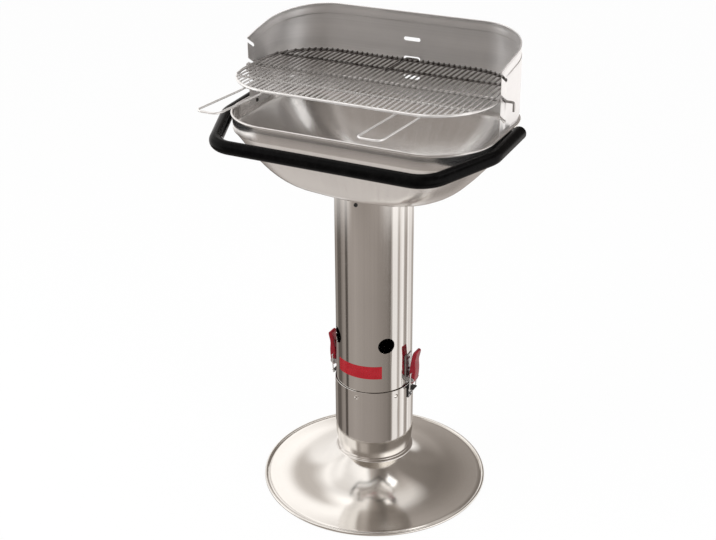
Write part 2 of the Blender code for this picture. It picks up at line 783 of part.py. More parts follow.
def make_rail():
    """bent tube that runs along the skirt's sides and stands off the front"""
    corners = [(-RAIL_SIDE_X, RAIL_BACK_Y), (-RAIL_SIDE_X, RAIL_BEND_Y), (-RAIL_FRONT_HALF, RAIL_FRONT_Y)]
    corners += [(-x, y) for x, y in corners[::-1]]
    points = [Vector((x, y, rail_height(y))) for x, y in corners]
    path = [points[0]]
    path += soften(points[:3], RAIL_CORNER, 3)[1:-1]
    path += soften(points[1:4], RAIL_CORNER, 6)[1:-1]
    path += soften(points[2:5], RAIL_CORNER, 6)[1:-1]
    path += soften(points[3:], RAIL_CORNER, 3)[1:-1]
    path += [points[-1]]
    bm = bmesh.new()
    wire(bm, path, RAIL_RADIUS, sides=12, bore=RAIL_RADIUS - RAIL_WALL)
    rail = place("rail", bm, black_enamel())
    holes = bmesh.new()
    near = RIM_LENGTH / 2 - SKIRT_INSET
    for side in (1, -1):
        rod(
            holes,
            (side * near, RAIL_SCREW_Y, RAIL_SIDE_Z),
            (side * RAIL_SIDE_X, RAIL_SCREW_Y, RAIL_SIDE_Z),
            SCREW_RADIUS + HOLE_PLAY,
            12,
        )
    cut(rail, holes)

    for side, label in ((-1, "left"), (1, "right")):
        slope = Vector((0, 1, (RAIL_SIDE_Z - RAIL_FRONT_Z) / (RAIL_SCREW_Y - RAIL_FRONT_Y))).normalized()
        end = Vector((side * RAIL_SIDE_X, RAIL_BACK_Y, rail_height(RAIL_BACK_Y)))
        turn = slope.to_track_quat("Z", "Y").to_matrix().to_4x4()
        stem = RAIL_RADIUS - RAIL_WALL - 0.0006
        lip = SEAT_GAP + 0.0004
        profile = [(0, -RAIL_PLUG_DEPTH), (stem, -RAIL_PLUG_DEPTH), (stem, lip), (RAIL_RADIUS - 0.0005, lip)]
        profile += [(RAIL_RADIUS - 0.0012, lip + 0.0015), (RAIL_RADIUS * 0.6, lip + 0.003), (0, lip + 0.0035)]
        bm = bmesh.new()
        lathe(bm, profile, 14, Matrix.Translation(end) @ turn, wrap=False)
        place("rail_plug_" + label, bm, black_plastic())

    grip = SEAT_GAP * 3 + SHIELD_SHEET + BOWL_SHEET + RAIL_WALL + 0.006
    screw_head = (SCREW_HEAD_RADIUS, SCREW_HEAD_HEIGHT)
    add_fasteners("rail_screw", rail_screw_places(), black_plastic(), screw_head, (SCREW_RADIUS, grip))

    wall = RAIL_SIDE_X - RAIL_RADIUS + RAIL_WALL + 0.0010
    bore = SCREW_RADIUS + HOLE_PLAY
    for side, label in ((-1, "left"), (1, "right")):
        turn = Matrix.Rotation(side * math.pi / 2, 4, "Y")
        matrix = Matrix.Translation((side * wall, RAIL_SCREW_Y, RAIL_SIDE_Z)) @ turn
        bm = bmesh.new()
        lathe(bm, [(bore, 0.0004), (0.0042, 0.0004), (0.0042, 0.0034), (bore, 0.0034)], 12, matrix)
        place("rail_nut_" + label, bm, zinc_steel())


def shield_top(y):
    """the top edge falls evenly along the wings, then more steeply at their tips"""
    tip_end = SHIELD_FRONT_Y + SHIELD_TIP_RUN
    if y < tip_end:
        share = (y - SHIELD_FRONT_Y) / SHIELD_TIP_RUN
        return SHIELD_TIP_Z + (SHIELD_WING_Z - SHIELD_TIP_Z) * share
    share = (y - tip_end) / (SHIELD_Y - tip_end)
    return SHIELD_WING_Z + (SHIELD_BACK_Z - SHIELD_WING_Z) * share


def shield_path():
    """outer plan of the windshield from the right wing's tip round the back, as (x, y, pressed)"""
    press_start = SHIELD_FRONT_Y + SHIELD_BORDER
    right = [(SHIELD_X, SHIELD_FRONT_Y, 0.0), (SHIELD_X, press_start, 0.0)]
    right += [(SHIELD_X, press_start + SHIELD_PRESS_RUN, 1.0), (SHIELD_X, SHIELD_FRONT_Y + SHIELD_TIP_RUN, 1.0)]
    centre = (SHIELD_X - SHIELD_CORNER, SHIELD_Y - SHIELD_CORNER)
    right += [(x, y, 1.0) for x, y in arc(centre, SHIELD_CORNER, 0, 90, CORNER_STEPS)]
    left = [(-x, y, pressed) for x, y, pressed in right[::-1]]
    return right + [(0.0, SHIELD_Y, 1.0)] + left


def make_windshield():
    """one bent sheet with a raised panel inside a flat border, six notches and three slots"""
    path = shield_path()
    columns = []
    for k, (x, y, pressed) in enumerate(path):
        ahead = path[min(k + 1, len(path) - 1)]
        back = path[max(k - 1, 0)]
        out = Vector((ahead[1] - back[1], -(ahead[0] - back[0]), 0)).normalized()
        top = shield_top(y)
        low = RIM_Z + 0.006
        heights = ((SHIELD_BOTTOM, 0), (low, 0), (low + SHIELD_PRESS_RUN, pressed))
        heights += ((top - SHIELD_BORDER - SHIELD_PRESS_RUN, pressed), (top - SHIELD_BORDER, 0), (top, 0))
        columns.append([Vector((x, y, z)) + out * SHIELD_PRESS * amount for z, amount in heights])
    bm = bmesh.new()
    grid = [[bm.verts.new(p) for p in column] for column in columns]
    for left, right in zip(grid, grid[1:]):
        for k in range(len(left) - 1):
            bm.faces.new((left[k], right[k], right[k + 1], left[k + 1]))
    shield = place("windshield", bm, brushed_steel(), angle=60)
    if shield.data.polygons[0].normal.x < 0:
        shield.data.flip_normals()
    sheet = shield.modifiers.new("sheet", "SOLIDIFY")
    sheet.thickness = SHIELD_SHEET
    sheet.offset = -1
    sheet.use_even_offset = True
    holes = bmesh.new()
    half = CARRIER_WIRE_RADIUS + NOTCH_PLAY
    notch = arc((0, 0), half, 90, 270, 6) + [(0.04, -half), (0.04, half)]
    to_mouth = (0, -math.cos(NOTCH_SLOPE), math.sin(NOTCH_SLOPE))
    across = (0, math.sin(NOTCH_SLOPE), math.cos(NOTCH_SLOPE))
    end = BACK_SLOT_LENGTH / 2 - BACK_SLOT_HEIGHT / 2
    slot = arc((end, 0), BACK_SLOT_HEIGHT / 2, -90, 90, 6) + arc((-end, 0), BACK_SLOT_HEIGHT / 2, 90, 270, 6)
    for level in (-1, 0, 1):
        rise = level * NOTCH_PITCH
        for side in (1, -1):
            prism(holes, notch, frame_at((side * SHIELD_X, CARRIER_Y, CARRIER_Z + rise), to_mouth, across), 0.008)
        prism(holes, slot, frame_at((TAB_X, SHIELD_Y, BACK_SLOT_Z + rise), (1, 0, 0), (0, 0, 1)), 0.01)
    for matrix in rail_screw_places():
        lathe(holes, hole_profile(SCREW_RADIUS), 8, matrix, wrap=False)
    cut(shield, holes)


def coal_ring():
    """centre line of a wire that rests on the hull at the ring above its lowest one"""
    ring = [Vector(p) for p in hull_ring(HULL_DEPTHS[1])]
    below = [Vector(p) for p in hull_ring(HULL_DEPTHS[0])]
    clearance = BOWL_SHEET + COAL_WIRE_RADIUS + 2 * SEAT_GAP
    path = []
    for k, point in enumerate(ring):
        along = (ring[(k + 1) % len(ring)] - ring[k - 1]).normalized()
        inward = Vector((-along.y, along.x, 0))
        run = (below[k] - point).dot(inward)
        rise = point.z - below[k].z
        path.append(point + inward * clearance * math.hypot(run, rise) / rise)
    return path


def span_at(ring, x):
    """the far side of a closed outline at x, or 0 where the outline doesn't reach"""
    far = 0.0
    for p, q in zip(ring, ring[1:] + ring[:1]):
        if min(p[0], q[0]) <= x < max(p[0], q[0]):
            share = (x - p[0]) / (q[0] - p[0])
            far = max(far, p[1] + (q[1] - p[1]) * share)
    return far


def make_charcoal_grate():
    """welded wire grate whose rim follows the hull's own section"""
    path = coal_ring()
    level = path[0].z
    bm = bmesh.new()
    wire(bm, path, COAL_WIRE_RADIUS, sides=6, closed=True)
    grate = place("charcoal_grate", bm, zinc_steel(), (0, 0, level))
    bar_z = level + COAL_WIRE_RADIUS + COAL_BAR_RADIUS - WELD_DEPTH
    bars = bmesh.new()
    count = int(max(p.x for p in path) / COAL_BAR_PITCH)
    for k in range(-count, count + 1):
        x = k * COAL_BAR_PITCH
        reach = span_at(path, x)
        if reach > 0.02:
            reach += COAL_WIRE_RADIUS * 0.4
            rod(bars, (x, -reach, bar_z), (x, reach, bar_z), COAL_BAR_RADIUS, 6)
    fuse(grate, bars)


def make_cooking_grate():
    """welded wire grate: rim, bars, stays, hooked carrier wire, back tab and two handles"""
    origin = (0, CARRIER_Y, CARRIER_Z)
    carrier = pivot("cooking_grate_slide", origin)
    half_x = GRATE_HALF_X - GRATE_RIM_RADIUS
    half_y = GRATE_WIDTH / 2 - GRATE_RIM_RADIUS
    corner = GRATE_CORNER - GRATE_RIM_RADIUS

    bm = bmesh.new()
    outline = rounded_rectangle(half_x, half_y, corner, 7, 1, 1)
    path = [(x, y + GRATE_CENTRE_Y, GRATE_RIM_Z) for x, y in outline]
    wire(bm, path, GRATE_RIM_RADIUS, sides=6, closed=True)
    grate = place("cooking_grate", bm, chromed_wire(), origin, carrier)
    bars = bmesh.new()
    for k in range(GRATE_BAR_COUNT):
        x = (k - (GRATE_BAR_COUNT - 1) / 2) * GRATE_BAR_PITCH
        reach = span_at(outline, x) + GRATE_RIM_RADIUS * 0.4
        front, back = GRATE_CENTRE_Y - reach, GRATE_CENTRE_Y + reach
        rod(bars, (x, front, GRATE_BAR_Z), (x, back, GRATE_BAR_Z), GRATE_BAR_RADIUS, 6)
    fuse(grate, bars)

    for offset, label in ((-STAY_OFFSET, "front"), (STAY_OFFSET, "back")):
        reach = span_at([(y, x) for x, y in outline], offset) - 1.6 * GRATE_RIM_RADIUS - SEAT_GAP
        y = GRATE_CENTRE_Y + offset
        bm = bmesh.new()
        rod(bm, (-reach, y, STAY_Z), (reach, y, STAY_Z), STAY_RADIUS, 8)
        place("grate_stay_" + label, bm, chromed_wire(), origin, carrier)

    bm = bmesh.new()
    out = SHIELD_X + HOOK_REACH
    hook = [(-out, CARRIER_Y, CARRIER_Z - HOOK_DROP), (-out, CARRIER_Y, CARRIER_Z), (out, CARRIER_Y, CARRIER_Z)]
    hook.append((out, CARRIER_Y, CARRIER_Z - HOOK_DROP))
    wire(bm, soften(hook, 0.004, 3), CARRIER_WIRE_RADIUS)
    place("grate_carrier_wire", bm, chromed_wire(), origin, carrier)

    bm = bmesh.new()
    root = GRATE_CENTRE_Y + STAY_OFFSET - STAY_RADIUS
    tip = SHIELD_Y + TAB_PAST_WALL
    half = TAB_WIDTH / 2
    tab = [(TAB_X - half, root, TAB_Z), (TAB_X - half, tip, TAB_Z), (TAB_X + half, tip, TAB_Z)]
    tab.append((TAB_X + half, root, TAB_Z))
    wire(bm, soften(tab, 0.004, 3), TAB_WIRE_RADIUS, 6)
    place("grate_back_tab", bm, chromed_wire(), origin, carrier)

    root = GRATE_CENTRE_Y - STAY_OFFSET + STAY_RADIUS
    edge = GRATE_CENTRE_Y - GRATE_WIDTH / 2
    root_z = GRATE_RIM_Z - GRATE_RIM_RADIUS - HANDLE_WIRE_RADIUS - SEAT_GAP
    for middle, label in ((HANDLE_LEFT_X, "left"), (HANDLE_RIGHT_X, "right")):
        bm = bmesh.new()
        half = HANDLE_WIDTH / 2 - HANDLE_WIRE_RADIUS
        loop = [(middle - half, root, root_z), (middle - half, edge, root_z)]
        loop += [(middle - half, HANDLE_FRONT_Y, root_z + HANDLE_RISE)]
        loop += [(2 * middle - x, y, z) for x, y, z in loop[::-1]]
        path = soften(loop[:3], 0.03, 2)[:-1]
        path += soften(loop[1:4], HANDLE_CORNER, 5)[1:-1]
        path += soften(loop[2:5], HANDLE_CORNER, 5)[1:-1]
        path += soften(loop[3:], 0.03, 2)[1:]
        wire(bm, path, HANDLE_WIRE_RADIUS, 8)
        place("grate_handle_" + label, bm, chromed_wire(), origin, carrier)


def side_view(side, y=0.0):
    """draws (outward from the axis, up) on the plane at y, on the latch's side of the column"""
    return frame_at((0, y, 0), (side, 0, 0), (0, 0, 1))


def make_latch_plate(side, label):
    """plate bent to the column's curve, with two ears for the lever's pin"""
    low = LATCH_Z - PLATE_BELOW_PIVOT
    ear_out = LEVER_HALF_WIDTH + 0.0005 + EAR_SHEET
    spread = math.degrees(math.asin(ear_out / TUBE_RADIUS))
    inner = TUBE_RADIUS + SEAT_GAP
    outline = arc((0, 0), inner, -spread, spread, 6) + arc((0, 0), inner + PLATE_SHEET, spread, -spread, 6)
    bm = bmesh.new()
    prism(bm, outline, frame_at((0, 0, low + PLATE_HEIGHT / 2), (side, 0, 0), (0, side, 0)), PLATE_HEIGHT / 2)
    plate = place("latch_plate_" + label, bm, zinc_steel())
    ears = bmesh.new()
    foot = inner - 0.0004
    ear = [(foot, LATCH_Z - EAR_RADIUS)] + arc((PIVOT_X, LATCH_Z), EAR_RADIUS, -90, 90, 6)
    ear.append((foot, LATCH_Z + EAR_RADIUS))
    for across in (-1, 1):
        prism(ears, ear, side_view(side, across * (ear_out - EAR_SHEET / 2)), EAR_SHEET / 2)
    fuse(plate, ears)
    holes = bmesh.new()
    rod(holes, (side * PIVOT_X, -0.02, LATCH_Z), (side * PIVOT_X, 0.02, LATCH_Z), PIN_RADIUS + HOLE_PLAY, 8)
    for matrix in plate_rivet_places(side):
        lathe(holes, hole_profile(RIVET_RADIUS, 0.003), 8, matrix, wrap=False)
    cut(plate, holes)
    grip = 2 * SEAT_GAP + PLATE_SHEET + TUBE_SHEET + SEAT_GAP
    head = (RIVET_HEAD_RADIUS, RIVET_HEAD_HEIGHT)
    places = plate_rivet_places(side)
    add_fasteners("latch_rivet_" + label, places, zinc_steel(), head, (RIVET_RADIUS, grip), (0.0026, 0.0009))


def make_lever(side, label):
    """moulded lever: rounded heel at the pin, swelling body, finger end turned away from the column"""
    heel = [(-0.0056, -0.0058), (-0.0010, -0.0093)]
    outer = [(0.0040, -0.0062), (0.0066, 0.0080), (0.0076, 0.0260), (0.0068, 0.0440), (0.0108, LEVER_LENGTH - 0.0012)]
    inner = [(0.0030, LEVER_LENGTH), (-0.0020, 0.0460), (-0.0052, 0.0240), (-0.0062, 0.0040)]
    curve = smooth_loop([(PIVOT_X + x, LATCH_Z + z, 0) for x, z in heel + outer + inner], 2)
    bm = bmesh.new()
    prism(bm, [(x, z) for x, z, _ in curve], side_view(side), LEVER_HALF_WIDTH)
    lever = place("latch_lever_" + label, bm, red_plastic(), (side * PIVOT_X, 0, LATCH_Z))
    edge = lever.modifiers.new("rounded edges", "BEVEL")
    edge.width = 0.0016
    edge.segments = 2
    edge.limit_method = "ANGLE"
    edge.angle_limit = math.radians(60)
    holes = bmesh.new()
    rod(holes, (side * PIVOT_X, -0.02, LATCH_Z), (side * PIVOT_X, 0.02, LATCH_Z), PIN_RADIUS + HOLE_PLAY, 8)
    bore = BAIL_WIRE_RADIUS + HOLE_PLAY
    rod(holes, (side * BAIL_X, -0.02, BAIL_TOP_Z), (side * BAIL_X, 0.02, BAIL_TOP_Z), bore, 8)
    cut(lever, holes)


def make_pin(side, label):
    """headed pin through ears and lever"""
    half = LEVER_HALF_WIDTH + 0.0005 + EAR_SHEET + SEAT_GAP
    frame = frame_at((side * PIVOT_X, half, LATCH_Z), (1, 0, 0), (0, 0, -1))
    add_fasteners("latch_pin_" + label, [frame], zinc_steel(), (0.0024, 0.0007), (PIN_RADIUS, 2 * half), (0.0022, 0.0007))


def make_bail(side, label):
    """wire loop hinged in the lever, its cross bar caught under the hook"""
    start = LEVER_HALF_WIDTH - 0.004
    top = side * BAIL_X
    path = [(top, start, BAIL_TOP_Z), (top, BAIL_HALF_WIDTH, BAIL_TOP_Z), (side * BAR_X, BAIL_HALF_WIDTH, BAR_Z)]
    path += [(x, -y, z) for x, y, z in path[::-1]]
    bm = bmesh.new()
    wire(bm, soften(path, 0.0016, 3), BAIL_WIRE_RADIUS, 8)
    place("latch_bail_" + label, bm, chromed_wire(), (top, 0, BAIL_TOP_Z))


def make_catch(side, label):
    """strip riveted to the pot, its upper end bent out into a shelf with a small lip"""
    wall = POT_RADIUS + SEAT_GAP
    root = (wall + CATCH_SHEET + CATCH_BEND, SHELF_Z - CATCH_BEND)
    lip = (BAR_X + CATCH_LIP_OUT - CATCH_LIP, SHELF_Z - CATCH_LIP)
    outline = [(wall, CATCH_LOW), (wall + CATCH_SHEET, CATCH_LOW)]
    outline += arc(root, CATCH_BEND, 180, 90, 3) + arc(lip, CATCH_LIP, 90, 0, 3)
    outline += arc(lip, CATCH_LIP + CATCH_SHEET, 0, 90, 3) + arc(root, CATCH_BEND + CATCH_SHEET, 90, 180, 3)
    bm = bmesh.new()
    prism(bm, outline, side_view(side), CATCH_HALF_WIDTH)
    catch = place("latch_catch_" + label, bm, black_plastic())
    holes = bmesh.new()
    for matrix in catch_rivet_places(side):
        lathe(holes, hole_profile(RIVET_RADIUS, 0.003), 8, matrix, wrap=False)
    cut(catch, holes)
    grip = 2 * SEAT_GAP + CATCH_SHEET + POT_SHEET + 0.0006
    places = catch_rivet_places(side)
    add_fasteners("catch_rivet_" + label, places, zinc_steel(), (0.0024, 0.0008), (RIVET_RADIUS, grip), (0.0022, 0.0004))


def make_latches():
    for side, label in ((-1, "left"), (1, "right")):
        make_latch_plate(side, label)
        make_lever(side, label)
        make_pin(side, label)
        make_bail(side, label)
        make_catch(side, label)


def centre_on_footprint():
    """moves everything back so that the origin is in the middle of the footprint"""
    for item in bpy.data.objects:
        if item.parent is None:
            item.location.y += FOOTPRINT_SHIFT


def main():
    clear_scene()
    make_base_dish()
    make_ash_pot()
    make_centre_bolt()
    make_tube()
    make_collar()
    make_bowl()
    make_rail()
    make_windshield()
    make_charcoal_grate()
    make_cooking_grate()
    make_latches()
    centre_on_footprint()


main()
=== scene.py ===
"""Looks of the charcoal barbecue: bright steel, chromed wire, black and red mouldings.

Every shape is drawn in metres round the column's axis, with the front towards -Y, and
then moves back with the axis, because the origin is in the middle of the footprint.
"""

import math

import bmesh
import bpy
from mathutils import Matrix, Vector


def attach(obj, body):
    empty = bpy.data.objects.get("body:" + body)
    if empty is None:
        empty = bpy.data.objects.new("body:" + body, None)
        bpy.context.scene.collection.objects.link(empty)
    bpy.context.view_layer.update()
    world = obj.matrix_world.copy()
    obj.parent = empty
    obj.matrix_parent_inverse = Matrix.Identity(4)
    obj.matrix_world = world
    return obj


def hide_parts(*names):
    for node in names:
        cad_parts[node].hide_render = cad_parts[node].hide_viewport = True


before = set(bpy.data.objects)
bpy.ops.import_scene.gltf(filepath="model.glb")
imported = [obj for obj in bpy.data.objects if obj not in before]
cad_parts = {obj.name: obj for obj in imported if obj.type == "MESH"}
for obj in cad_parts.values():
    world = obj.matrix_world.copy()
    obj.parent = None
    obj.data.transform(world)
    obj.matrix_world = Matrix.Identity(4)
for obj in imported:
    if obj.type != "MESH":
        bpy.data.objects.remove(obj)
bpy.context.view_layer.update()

# the column's axis stands this far behind the middle of the footprint
AXIS_SHIFT = Vector((0, 0.0356, 0))

# camera, fitted to the outlines of the foot, column, rim, rail and windshield
CAMERA_PLACE = Vector((1.1179, -2.2420, 1.7053)) + AXIS_SHIFT
CAMERA_TURNS = [math.radians(angle) for angle in (28.676, 24.997, -0.966)]
CAMERA_LENS = 66.93
CAMERA_SHIFT = (0.0415, -0.0232)

GAP = 0.0003
EDGE = 0.0004
WELD_SINK = 0.0010
BOLT_HOLE_RADIUS = 0.0043

# base dish
DISH_RADIUS = 0.245
DISH_NECK_RADIUS = 0.054
DISH_TOP = 0.0745
DISH_SHEET = 0.0015
DISH_FLARE = 3.0
DISH_BEAD = 0.0034
DISH_HEM = 0.006
DISH_STEP = 0.0016
DISH_STEP_RUN = 0.0045
DISH_SHOULDER = ((0.006, 0.0), (0.0045, 0.0002), (0.0025, 0.0011))
DISH_SHOULDER_DROP = 0.003
DISH_FLARE_STEPS = 52
DISH_CROWDING = 1.25

# ash pot
POT_RADIUS = 0.0842
POT_BOTTOM = DISH_TOP + GAP
POT_TOP = POT_BOTTOM + 0.1737
POT_SHEET = 0.0012
POT_HEM = 0.0035
POT_HEM_HEIGHT = 0.003
POT_HEM_ROUND = 0.0015
POT_DRAW = 0.006
POT_DRAW_HEIGHT = 0.058
DIMPLE_COUNT = 6
DIMPLE_RADIUS = 0.0045
DIMPLE_Z = POT_TOP - 0.0135

# column tube
TUBE_RADIUS = 0.0815
TUBE_SHEET = 0.0012
TUBE_INNER = TUBE_RADIUS - TUBE_SHEET
TUBE_BOTTOM = DIMPLE_Z + DIMPLE_RADIUS + GAP
TUBE_TOP = 0.6920
AIR_HOLE_RADIUS = 0.018
AIR_HOLE_Z = 0.359

# screws
COLLAR_SCREW_DROP = 0.016
SCREW_RADIUS = 0.0022
SCREW_HEAD_RADIUS = 0.0042
SCREW_HEAD_HEIGHT = 0.0024
COLLAR_SCREW_LENGTH = 0.0065
RAIL_SCREW_LENGTH = 0.010
RIVET_RADIUS = 0.0015

# bowl
RIM_LENGTH = 0.556
RIM_WIDTH = 0.348
RIM_CORNER = 0.118
RIM_Z = 0.8435
RIM_BEAD_RADIUS = 0.0020
BOWL_SHEET = 0.0012
SKIRT_Z = RIM_Z - 0.033
SKIRT_INSET = 2 * RIM_BEAD_RADIUS - BOWL_SHEET
COLLAR_SHEET = 0.0015
BOWL_BOTTOM = TUBE_TOP + GAP + COLLAR_SHEET + GAP
BOWL_MOUTH_RADIUS = TUBE_INNER - GAP - COLLAR_SHEET
BOWL_FOOT_RADIUS = 0.0905
HULL_SIDE = 0.8
HULL_FLOOR = 3.0
HULL_DEPTHS = (0.996, 0.985, 0.965, 0.93, 0.88, 0.82, 0.75, 0.67, 0.58, 0.49)
HULL_DEPTHS += (0.40, 0.31, 0.23, 0.16, 0.10, 0.055, 0.03, 0.012, 0.003)

# charcoal grate
COAL_WIRE_RADIUS = 0.0025
COAL_BAR_RADIUS = 0.002
COAL_BAR_PITCH = 0.022
COAL_RING_DEPTHS = (0.975, 0.85)

# windshield
SHIELD_SHEET = 0.0010
SHIELD_INSET = SKIRT_INSET + BOWL_SHEET + GAP
SHIELD_X = RIM_LENGTH / 2 - SHIELD_INSET
SHIELD_Y = RIM_WIDTH / 2 - SHIELD_INSET
SHIELD_CORNER = RIM_CORNER - SHIELD_INSET
SHIELD_FRONT_Y = -0.0225
SHIELD_BOTTOM = RIM_Z - 0.0205
SHIELD_BACK_Z = 1.006
SHIELD_WING_Z = 0.978
SHIELD_TIP_Z = 0.9695
SHIELD_TIP_RUN = 0.0355
SHIELD_TIP_Y = SHIELD_FRONT_Y + SHIELD_TIP_RUN
SHIELD_BORDER = 0.020
SHIELD_PANEL_Z = RIM_Z + 0.006
SHIELD_PRESS = 0.0015
SHIELD_PRESS_RUN = 0.003
SHIELD_HEM = 0.0022
SHIELD_HEM_SWELL = 0.0005
# the hem's section, as drops below the top edge in hems and shares of the swell
SHIELD_HEM_STEPS = ((1.20, 0.0), (1.02, 0.55), (0.80, 0.88), (0.50, 1.0))
SHIELD_HEM_STEPS += ((0.22, 0.80), (0.06, 0.45), (0.0, 0.0))
NOTCH_PITCH = 0.0405
NOTCH_SLOPE = math.radians(34)
NOTCH_DEPTH = 0.0232
NOTCH_PLAY = 0.0008
BACK_SLOT_LENGTH = 0.037
BACK_SLOT_HEIGHT = 0.008

# rail
RAIL_RADIUS = 0.0135
RAIL_WALL = 0.0015
RAIL_SIDE_X = RIM_LENGTH / 2 - SKIRT_INSET + GAP + RAIL_RADIUS
RAIL_FRONT_Y = -0.240
RAIL_FRONT_Z = 0.8187
RAIL_SIDE_Z = 0.8300
RAIL_FRONT_HALF = 0.225
RAIL_BEND_Y = -0.085
RAIL_CORNER = 0.055
RAIL_BACK_Y = 0.045
RAIL_SCREW_Y = 0.0042
RAIL_PLUG_DEPTH = 0.012
RAIL_PLUG_EDGE = 0.0006
RAIL_PLUG_DOME = 0.0029

# cooking grate
CARRIER_Y = SHIELD_FRONT_Y + NOTCH_DEPTH
CARRIER_Z = 0.9065
CARRIER_WIRE_RADIUS = 0.0025
GRATE_CENTRE_Y = -0.0085
GRATE_SIDE_PLAY = 0.0013
GRATE_HALF_X = SHIELD_X - SHIELD_SHEET - GRATE_SIDE_PLAY
GRATE_WIDTH = 0.309
GRATE_CORNER = 0.122
GRATE_RIM_RADIUS = 0.003
GRATE_RIM_Z = CARRIER_Z + CARRIER_WIRE_RADIUS + GRATE_RIM_RADIUS + GAP
GRATE_BAR_RADIUS = 0.00175
GRATE_BAR_COUNT = 46
GRATE_BAR_PITCH = 0.0115
GRATE_BAR_Z = GRATE_RIM_Z + GRATE_RIM_RADIUS + GRATE_BAR_RADIUS - WELD_SINK
STAY_OFFSET = 0.083
STAY_RADIUS = 0.0025
STAY_Z = GRATE_BAR_Z - GRATE_BAR_RADIUS - STAY_RADIUS - GAP
HOOK_REACH = 0.0175
HOOK_DROP = 0.018
TAB_WIRE_RADIUS = 0.002
TAB_WIDTH = 0.026
TAB_X = 0.0025
TAB_Z = GRATE_RIM_Z - GRATE_RIM_RADIUS - TAB_WIRE_RADIUS - GAP
TAB_PAST_WALL = 0.0035
BACK_SLOT_Z = TAB_Z - TAB_WIRE_RADIUS - GAP + BACK_SLOT_HEIGHT / 2
HANDLE_WIRE_RADIUS = 0.0022
HANDLE_WIDTH = 0.052
HANDLE_FRONT_Y = -0.314
HANDLE_RISE = 0.007
HANDLE_CORNER = 0.014
HANDLE_RISE_BEND = 0.03
HANDLE_PLACES = (("left", -0.669 * RIM_LENGTH / 2), ("right", 0.520 * RIM_LENGTH / 2))

# toggle latches
SIDES = (("left", -1), ("right", 1))
LATCH_Z = 0.264
PIVOT_X = TUBE_RADIUS + 0.013
LEVER_HALF_WIDTH = 0.0115
LEVER_LENGTH = 0.066
PIN_RADIUS = 0.0015
BAIL_WIRE_RADIUS = 0.00125
BAIL_X = PIVOT_X - 0.0005
BAIL_TOP_Z = LATCH_Z + 0.016
BAIL_HALF_WIDTH = LEVER_HALF_WIDTH + 0.0045
CATCH_SHEET = 0.0015
CATCH_BEND = 0.0015
CATCH_LIP = 0.0008
CATCH_HALF_WIDTH = 0.010
SHELF_Z = POT_TOP - 0.00945
CATCH_LOW = SHELF_Z + CATCH_SHEET - 0.0235
BAR_X = POT_RADIUS + GAP + CATCH_SHEET + 0.0055
BAR_Z = SHELF_Z - GAP - BAIL_WIRE_RADIUS
CATCH_LIP_X = BAR_X + 0.0045

# plain label on the column
LABEL_START = -127
LABEL_END = -52
LABEL_LOW = 0.2820
LABEL_HIGH = 0.3115
LABEL_FILM = 0.00025


def set_camera():
    yaw, pitch, roll = CAMERA_TURNS
    flat = Vector((-math.sin(yaw), math.cos(yaw), 0))
    forward = flat * math.cos(pitch) - Vector((0, 0, math.sin(pitch)))
    level = Vector((math.cos(yaw), math.sin(yaw), 0))
    up = level.cross(forward)
    right = level * math.cos(roll) + up * math.sin(roll)
    turn = Matrix((right, right.cross(forward), -forward)).transposed().to_4x4()
    data = bpy.data.cameras.new("view")
    data.lens = CAMERA_LENS
    data.sensor_width = 36
    data.shift_x, data.shift_y = CAMERA_SHIFT
    camera = add_object("view", data)
    camera.matrix_world = Matrix.Translation(CAMERA_PLACE) @ turn
    bpy.context.scene.camera = camera


class Value:
    """a node's socket that takes part in Python arithmetic"""

    def __init__(self, shop, socket):
        self.shop = shop
        self.socket = socket

    def __add__(self, other):
        return self.shop.maths("ADD", self, other)

    def __mul__(self, other):
        return self.shop.maths("MULTIPLY", self, other)


def with_alpha(value):
    """a triple of colour as sockets take it, anything else as it is"""
    return (*value, 1.0) if isinstance(value, tuple) and len(value) == 3 else value


